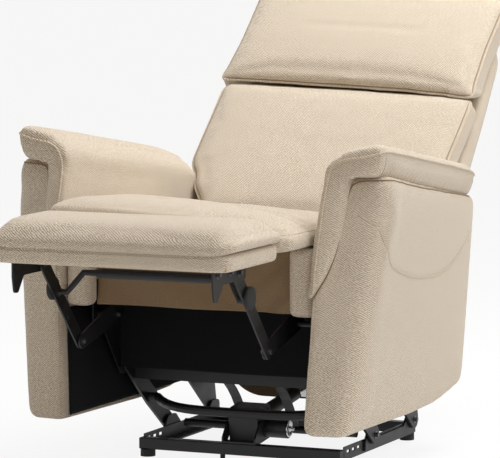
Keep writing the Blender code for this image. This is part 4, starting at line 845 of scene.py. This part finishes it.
arm_pads = {}
for side, way in SIDES:
    saddle, faces = loft([saddle_ring(t, way) for t in PAD_STATIONS])
    fall, more = loft([fall_ring(z, way) for z in FALL_Z])
    faces += [tuple(i + len(saddle) for i in face) for face in more]
    pad = make_piece(f"arm_pad_cover_{side}", np.vstack([saddle, fall]), faces, fabric)
    swell(pad, 0.005, 0.003, smooth=9)
    upholster(pad, "seat", 0.85, f"arm_pad_{side}")
    arm_pads[side] = pad

# %% [markdown]
# ## Stiles under the seat
# Two short padded posts close the gap between the seat's front corners and the arms. They are small cushions
# that lie on their backs, so the seat's way of making rings serves again, turned to face forwards.

# %% Stiles
STILE_LOW, STILE_HIGH, STILE_REAR, STILE_INNER = 0.36, 0.5046, -0.2183, 0.228
STILE_PROFILE = [(0.015, 0.0), (0.004, 0.001), (0.0, 0.008), (0.0, 0.034), (0.003, 0.042), (0.008, 0.046)]
stile_outer = arm_inner(STILE_REAR, STILE_LOW) - 0.0005
for side, way in SIDES:
    loop = round_rectangle((stile_outer - STILE_INNER) / 2, (STILE_HIGH - STILE_LOW) / 2, (0.012,) * 4)
    loop += [(stile_outer + STILE_INNER) / 2, (STILE_HIGH + STILE_LOW) / 2]
    rings = [np.column_stack([r[:, 0] * way, STILE_REAR - r[:, 2], r[:, 1]])
             for r in pillow(loop, STILE_PROFILE, 0.005, (0.004, 0.01, 0.016))]
    stile = make_piece(f"front_stile_cover_{side}", *loft(rings), fabric)
    swell(stile, 0.005, 0, smooth=3)
    upholster(stile, "seat", 0.8, f"front_stile_{side}")

# %% [markdown]
# ## Cloths under the seat
# A tan lining hangs between the stiles, a black dust cloth behind it, and another tan cloth closes the rear. A
# strip of the same lining runs from the rear rail under the back cushion, so nobody sees the floor in the crevice.
# They are thin sheets with soft folds: a grid moved by a few slow waves, then given a cloth's thickness.

# %% Lining cloths
CLOTH_THICK = 0.0014
DECK = [(0.2448, 0.4985), (0.25, 0.484), (0.262, 0.473), (0.28, 0.465), (0.3, 0.46), (0.322, 0.4582)]
DECK_HALF_W, DECK_COLUMNS = 0.243, 60


def cloth(name, points, columns, finish, order=1):
    """A thin sheet over rows of points; order -1 turns its faces round."""
    corners = [k for k in range(len(points) - columns) if (k + 1) % columns]
    faces = [(k, *(k + columns, k + columns + 1, k + 1)[::order]) for k in corners]
    sheet = make_piece(name, points, faces, finish, closed=False)
    thick = sheet.modifiers.new("thickness", "SOLIDIFY")
    thick.thickness, thick.offset = CLOTH_THICK, 0
    return lay_weave(settle(sheet))


def hung_cloth(name, half_w, low, high, y, folds, finish, lower_radius=0.0, columns=90, rows=44):
    """A sheet between two heights; folds(across, height) gives its depth off the plane y."""
    points = []
    for z in np.linspace(high, low, rows):
        for x in np.linspace(-half_w, half_w, columns):
            over = max(abs(x) - (half_w - lower_radius), 0) if lower_radius else 0
            edge = low + lower_radius - math.sqrt(max(lower_radius ** 2 - over ** 2, 0))
            height = high - (high - z) * (high - edge) / (high - low)
            points.append((x, y + folds(x, height), height))
    return cloth(name, points, columns, finish)


def flap_fold(x, z):
    """Slow waves, and tighter slanting folds towards the right-hand stile."""
    loose, tight = (0.5 - z) / 0.14, between(x, -0.02, 0.2) ** 2
    return loose * (0.006 * math.sin(24 * x + 30 * z) + 0.006 * tight * math.sin(75 * x - 95 * z)) - 0.002


flap = hung_cloth("front_lining", 0.2277, 0.362, 0.5, -0.2196, flap_fold, lining)
wear(flap, "seat", "lining", "front_flap")
dust = hung_cloth("dust_cloth", 0.2531, 0.205, 0.358, -0.0612,
                  lambda x, z: 0.004 * math.sin(17 * x - 12 * z), black_cloth)
wear(dust, "seat", "black_cloth", "dust_cover")
rear = hung_cloth("rear_lining", 0.233, 0.078, 0.335, 0.4486,
                  lambda x, z: 0.0025 * math.sin(19 * x) * (0.335 - z) / 0.257 + 0.001, lining, 0.1)
wear(rear, "seat", "lining", "rear_flap")

deck_line = open_line(DECK, 24, 2)
deck_x = np.linspace(-DECK_HALF_W, DECK_HALF_W, DECK_COLUMNS)
deck = cloth("crevice_lining", [(x, y, z + 0.0012 * math.sin(31 * x)) for y, z in deck_line for x in deck_x],
             DECK_COLUMNS, lining, -1)
wear(deck, "seat", "lining")

# %% [markdown]
# ## Linings on the arms' inner faces
# Below the seat nobody touches the arms, so their inner faces are closed with black cloth, tacked on behind a
# strip of the cover. It is a tight sheet with a little slack between its tacks, a few millimetres off the arm.

# %% Arm linings
LINING_GAP, LINING_SLACK, LINING_COLUMNS, LINING_ROWS = 0.0032, 0.0014, 60, 36
LINING_LOW, LINING_HIGH, LINING_FRONT, LINING_REAR = 0.128, 0.356, -0.272, 0.385
for side, way in SIDES:
    points = []
    for row in np.linspace(0, 1, LINING_ROWS):
        z = LINING_LOW + (LINING_HIGH - LINING_LOW) * row
        fore = max(LINING_FRONT, front_line(z) + 0.032)
        for column in np.linspace(0, 1, LINING_COLUMNS):
            y = fore + (LINING_REAR - fore) * column
            slack = LINING_SLACK * math.sin(math.pi * row) * math.sin(9 * math.pi * column)
            points.append((way * (arm_inner(y, z) - LINING_GAP - slack), y, z))
    tacked = cloth(f"arm_lining_{side}", points, LINING_COLUMNS, black_cloth, way)
    wear(tacked, "seat", "black_cloth")

# %% [markdown]
# ## Node trees
# Where two panels meet, upholsterers sew in a cord covered with fabric. Such a welt is one circle swept along a
# line, over and over, which is a job for Geometry Nodes: the first tree takes lines, spaces their points evenly and
# sweeps a circle of a given radius. The second sets short threads along a line, and the third puts a washer and a
# six-sided head on each point and turns them along the point's own axis.

# %% Node trees that grow pieces


def new_tree(name, **sockets):
    """An empty node tree with an input for each socket and one output."""
    tree = bpy.data.node_groups.new(name, "GeometryNodeTree")
    for title, kind in sockets.items():
        tree.interface.new_socket(title, in_out="INPUT", socket_type=f"NodeSocket{kind}")
    tree.interface.new_socket("Made", in_out="OUTPUT", socket_type="NodeSocketGeometry")
    return tree, add_node(tree, "NodeGroupInput").outputs


def geo(tree, kind, settings=None, **inputs):
    """Adds a geometry node, feeds its inputs and gives its outputs."""
    return plug(tree, add_node(tree, f"GeometryNode{kind}", **(settings or {})), **inputs)


def end_tree(tree, shape, finish):
    """Ends a tree: instances become real, and take a finish."""
    real = geo(tree, "RealizeInstances", Geometry=shape)
    add_node(tree, "NodeGroupOutput", geo(tree, "SetMaterial", Geometry=real[0], Material=finish)[0])


def grow(name, mesh, tree, **inputs):
    """Runs a tree on a mesh and keeps what it makes as a plain piece."""
    piece = bpy.data.objects.new(name, mesh)
    scene.collection.objects.link(piece)
    maker = piece.modifiers.new("maker", "NODES")
    maker.node_group = tree
    for socket in tree.interface.items_tree:
        if socket.in_out == "INPUT" and socket.name in inputs:
            maker[socket.identifier] = inputs[socket.name]
    return settle(piece)


def lines_mesh(name, lines):
    """A mesh of edges only, one run for each line."""
    mesh = bpy.data.meshes.new(name)
    edges, first = [], 0
    for line in lines:
        edges += [(first + i, first + i + 1) for i in range(len(line) - 1)]
        first += len(line)
    mesh.from_pydata(np.vstack(lines).tolist(), edges, [])
    return mesh


cords, given = new_tree("corded_welt", Lines="Geometry", Radius="Float", Spacing="Float", Finish="Material")
curve = geo(cords, "MeshToCurve", Mesh=given["Lines"])
evenly = geo(cords, "ResampleCurve", {"mode": "LENGTH"}, Curve=curve[0], Length=given["Spacing"])
ring = geo(cords, "CurvePrimitiveCircle", Resolution=10, Radius=given["Radius"])
swept = geo(cords, "CurveToMesh", Curve=evenly[0], Profile_Curve=ring["Curve"], Fill_Caps=True)
end_tree(cords, swept[0], given["Finish"])

sewing, given = new_tree("row_of_stitches", Lines="Geometry", Pitch="Float", Thread="Float", Finish="Material")
curve = geo(sewing, "MeshToCurve", Mesh=given["Lines"])
spots = geo(sewing, "CurveToPoints", {"mode": "LENGTH"}, Curve=curve[0], Length=given["Pitch"])
long_side = math_node(sewing, "MULTIPLY", given["Pitch"], 0.62)
thread = geo(sewing, "MeshCylinder", Vertices=6, Radius=given["Thread"], Depth=long_side)
sewn = geo(sewing, "InstanceOnPoints", Points=spots["Points"], Instance=thread[0], Rotation=spots["Rotation"])
end_tree(sewing, sewn[0], given["Finish"])

heads, given = new_tree("bolt_heads", Spots="Geometry", Size="Float", Finish="Material")
half_size, washer_r, washer_t, head_t = (math_node(heads, "MULTIPLY", given["Size"], part)
                                         for part in (0.5, 0.85, 0.14, 0.62))
washer = geo(heads, "MeshCylinder", Vertices=20, Radius=washer_r, Depth=washer_t)
hexagon = geo(heads, "MeshCylinder", Vertices=6, Radius=half_size, Depth=head_t)
lift = add_node(heads, "ShaderNodeCombineXYZ", 0.0, 0.0, math_node(heads, "MULTIPLY", head_t, 0.5))
raised = geo(heads, "Transform", Geometry=hexagon[0], Translation=lift.outputs[0])
head = add_node(heads, "GeometryNodeJoinGeometry")
for part in (washer, raised):
    heads.links.new(part[0], head.inputs[0])
axis = geo(heads, "InputNamedAttribute", {"data_type": "FLOAT_VECTOR"}, Name="axis")
aligned = plug(heads, add_node(heads, "FunctionNodeAlignRotationToVector", axis="Z"), Vector=axis[0])
screwed = geo(heads, "InstanceOnPoints", Points=given["Spots"], Instance=head.outputs[0], Rotation=aligned[0])
end_tree(heads, screwed[0], given["Finish"])
print("trees", [t.name for t in (cords, sewing, heads)])

# %% [markdown]
# ## Welts and sewn lines
# Piping runs round both back cushions and along the arm pads; plain seams are thinner cords, and dark ones stand
# for the shadow in a crease. The lines are drawn near the finished cushions and then laid on their surfaces.

# %% Welts and sewn lines
WELT_R, SEAM_R, CREASE_R, CORD_STEP = 0.0029, 0.0013, 0.0009, 0.004


def corded(name, body, lines, radius=WELT_R, finish=welt_fabric):
    piece = grow(name, lines_mesh(name, lines), cords, Radius=radius, Spacing=CORD_STEP, Finish=finish)
    return wear(lay_weave(piece), body, "fabric")


def around(ring):
    """A ring as a closed line of the scene."""
    return placed(np.vstack([ring, ring[:1]]))


def across_front(share, z):
    """A place across the arm's front top edge."""
    inner = arm_inner(TOP_FRONT, z)
    return inner + (arm_outer(TOP_FRONT, z) - inner) * share


def eased_line(line, way, turns):
    return placed(open_line(slanted(line) * [way, 1, 1], 240, turns))


def pad_welt(way):
    """Along the outer ridge to the front, across it, and down the inner front edge."""
    line = []
    for t in np.linspace(0.015, 0.975, 60):
        y, top, full = pad_station(t, way)
        z = top + pad_height(0.93) * full - 0.013
        line.append((arm_outer(y, z) + np.interp(t, *PAD_OVERHANG), pad_place(t, z), z))
    y, top, full = pad_station(1, way)
    for share in np.linspace(0.95, 0.16, 24):
        z = top + full * pad_height(share) - 0.006 - 0.01 * math.sin(math.pi * share)
        line.append((across_front(share, z), front_line(z), z))
    line += [(arm_inner(front_line(z), z) + 0.006, front_line(z), z) for z in np.linspace(0.665, 0.412, 40)]
    return eased_line(line, way, 16)


def band_seam(way):
    """Where the band's lower edge meets the arm, for a dark cord of painted crease shade: along the outer side,
    across the front, down to the tip.
    """
    line = [(arm_outer(y, arm_top(y)) + 0.01, y, arm_top(y) + RISE[way] - 0.002) for y in np.linspace(0.4, -0.21, 50)]
    z = arm_top(TOP_FRONT) + RISE[way] - 0.004
    line += [(across_front(share, z), -0.225, z) for share in np.linspace(0.96, 0.44, 16)]
    line += [(arm_inner(front_line(z), z) - PAD_LIP + np.interp(z, *FALL_W) + 0.001, front_line(z) + 0.006, z)
             for z in np.linspace(0.64, 0.405, 40)]
    return eased_line(line, way, 10)


for side, way in SIDES:
    arm, pad = arms[side], arm_pads[side]
    # The band's lower edge gets a dark cord of tan lining: painted shade for the crease under the band.
    corded(f"arm_band_seam_{side}", "seat", [laid_on(arm, band_seam(way), 0.0004)], 0.0016, lining)
    corded(f"arm_pad_welt_{side}", "seat", [laid_on(pad, pad_welt(way), WELT_R * 0.5)], 0.0024)
    edge = [(way * (arm_inner(front_line(z), z) + 0.004), front_line(z) + 0.002, z)
            for z in np.linspace(0.4, 0.13, 40)]
    tail = [(way * (arm_outer(0.43, z) - 0.004), 0.44 - 0.078 * (0.561 - z), z) for z in np.linspace(0.55, 0.17, 40)]
    seams = [laid_on(arm, placed(line), 0.0003) for line in (edge, tail)]
    corded(f"arm_seams_{side}", "seat", seams + [pocket_line(arm, way, 0.0007)], SEAM_R)
corded("headrest_welt", "back", [laid_on(headrest, around(head_rings[6]), WELT_R * 0.4)])
corded("back_cushion_welt", "back", [laid_on(back_cushion, around(cushion_rings[6]), WELT_R * 0.3)])
# Dark cords of tan lining along each side strip's front edge: the seam is real, and its darkness is painted crease
# shade.
for name, piece, ring in (("headrest", headrest, head_rings[7]), ("back_cushion", back_cushion, cushion_rings[7])):
    corded(f"{name}_seam", "back", [laid_on(piece, around(ring), 0.0002)], CREASE_R, lining)
corded("back_shell_seam", "back", [laid_on(back_shell, around(shell_rings[3]), 0.0005)], 0.002)
seat_lines = [around(seat_rings[8])]
seat_lines += [placed([(way * x, -0.385, z) for x, z in ((0.222, 0.51), (0.226, 0.525), (0.236, 0.54))])
               for _, way in SIDES]
corded("seat_seam", "seat", [laid_on(seat_cushion, line, 0.0002) for line in seat_lines], SEAM_R)

# %% [markdown]
# ## Rows of stitches
# Stitching shows along the footboard's front and at the arm pads' front corners. Each stitch could be modelled and
# copied by hand, but the tree spaces them evenly whatever the line's length.

# %% Rows of stitches
STITCH_PITCH, THREAD_R, PAD_FACE = 0.0052, 0.0005, PAD_MIDDLE - PAD_HALF_D
STITCHED_END = ((0.232, 0.521), (0.233, 0.508), (0.233, 0.496))
STITCHED_CORNER = ((0.4055, -0.197, 0.702), (0.402, -0.191, 0.69), (0.399, -0.187, 0.674), (0.398, -0.187, 0.66))
tan_thread = skin_finish("tan_thread", (0.3, 0.23, 0.15), 1.3, 1500, 0.0002, 0.7, 0.9)


def stitches(name, body, lines):
    piece = grow(name, lines_mesh(name, lines), sewing, Pitch=STITCH_PITCH, Thread=THREAD_R, Finish=tan_thread)
    return wear(piece, body, "fabric")


sewn_lines = [[(x, PAD_FACE, 0.5205) for x in np.linspace(-0.225, 0.225, 60)]]
sewn_lines += [[(way * x, PAD_FACE, z) for x, z in STITCHED_END] for _, way in SIDES]
stitches("footboard_stitches", "ottoman", [laid_on(band, placed(line), 0.0003) for line in sewn_lines])
for side, way in SIDES:
    corner = placed([(way * x, y, z) for x, y, z in STITCHED_CORNER])
    stitches(f"arm_pad_stitches_{side}", "seat", [laid_on(arm_pads[side], corner, 0.0004, 0.002)])

# %% [markdown]
# ## Bolts
# Every pivot of the mechanism ends in a bolt. The table lists, for each body and its pair of links, the outer (1) or
# inner (-1) face and the pivot's place. Each body gets its own set, so the bolts move with their links.

# %% Bolts at the pivots
LIFT_A, LIFT_B, LIFT_C, LIFT_D = (0.177, 0.052), (-0.03, 0.212), (0.417, 0.052), (0.21, 0.212)
FOOT_P, FOOT_Q, FOOT_R, FOOT_DRIVE = (-0.165, 0.335), (-0.335, 0.297), (-0.5, 0.478), (-0.127, 0.3706)
LINK_STUD = (-0.437, 0.409)
BOLTS = {("lift_front", "lift_arm"): [(1, LIFT_A), (-1, LIFT_B)],
         ("lift_rear", "rear_link"): [(1, LIFT_C), (-1, LIFT_D)],
         ("seat", "side_plate"): [(1, LIFT_B), (1, LIFT_D), (1, (0.3, 0.43))],
         ("footrest_rear", "footrest_rear_link"): [(-1, FOOT_P), (-1, FOOT_DRIVE), (-1, FOOT_Q)],
         ("footrest_front", "footrest_front_link"): [(1, FOOT_Q), (-1, FOOT_R), (1, LINK_STUD), (-1, LINK_STUD)],
         ("ottoman", "ottoman_bracket"): [(1, FOOT_R), (1, (-0.545, 0.484)), (1, (-0.605, 0.484))]}


def bolts(body, spots, ways, size):
    """Bolt heads at spots, each looking its own way."""
    name = f"bolts_{body}"
    mesh = bpy.data.meshes.new(name)
    mesh.from_pydata(spots, [], [])
    mesh.attributes.new("axis", "FLOAT_VECTOR", "POINT").data.foreach_set("vector", np.ravel(ways))
    piece = grow(name, mesh, heads, Size=size, Finish=zinc)
    smooth_faces(piece.data, False)
    return wear(piece, body, "bright_steel")


for (body, node), rows in BOLTS.items():
    spots, ways = [], []
    for side, way in SIDES:
        near, far = sorted(abs(corner.x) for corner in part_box(f"{node}_{side}"))
        for face, (y, z) in rows:
            spots.append((way * (far if face > 0 else near), y + FRONT, z))
            ways.append((way * face, 0, 0))
    bolts(body, spots, ways, 0.0105)

# %% [markdown]
# ## Small turned parts
# A rubber disc on each front link keeps it off the stiles, a flat rivet marks the middle of the link, and the lift
# motor ends in a bright ring with its shaft. All are round, so each is a profile of places along the axis and radii.

# %% Bumpers, rivets and the motor's end
BUMPER = [(0.2173, 0.016), (0.2178, 0.0235), (0.219, 0.0245), (0.2245, 0.0245), (0.2258, 0.0232), (0.2262, 0.012)]
RIVET = [(0.2129, 0.0085), (0.2125, 0.0085), (0.2122, 0.007)]
RING = [(0, 0.0185), (0.003, 0.0185), (0.0036, 0.0178), (0.0036, 0.013), (0.0014, 0.0125)]
SHAFT = [(0, 0.0062), (0.005, 0.0062), (0.0055, 0.0034), (0.0125, 0.0034), (0.0132, 0.0026)]


def turned(name, body, profile, middle, way, finish, slot, steps=28):
    """A round part about an axis across the chair; profile lists (x, radius)."""
    turn = np.linspace(0, 2 * math.pi, steps, endpoint=False)
    rings = [np.column_stack([np.full(steps, way * x), middle[0] + r * np.cos(turn), middle[1] + r * np.sin(turn)])
             for x, r in profile]
    return wear(make_piece(name, *loft(rings), finish), body, slot)


for side, way in SIDES:
    turned(f"bumper_{side}", "footrest_front", BUMPER, (-0.445, 0.42), way, rubber, "black_rubber")
    turned(f"knee_rivet_{side}", "footrest_front", RIVET, (-0.392, 0.36), way, powder_coat, "black_steel")
lo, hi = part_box("lift_motor")
motor_middle = ((lo.y + hi.y) / 2 - FRONT, (lo.z + hi.z) / 2)
for name, profile in (("motor_ring", RING), ("motor_shaft", SHAFT)):
    turned(name, "actuator", [(hi.x + x, r) for x, r in profile], motor_middle, 1, bright, "bright_steel")
lo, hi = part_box("lift_gearbox")
screws = [(hi.x, lo.y + (hi.y - lo.y) * a, lo.z + (hi.z - lo.z) * b)
          for a, b in ((0.42, 0.86), (0.78, 0.86), (0.78, 0.4))]
bolts("actuator", screws, [(1, 0, 0)] * 3, 0.006)
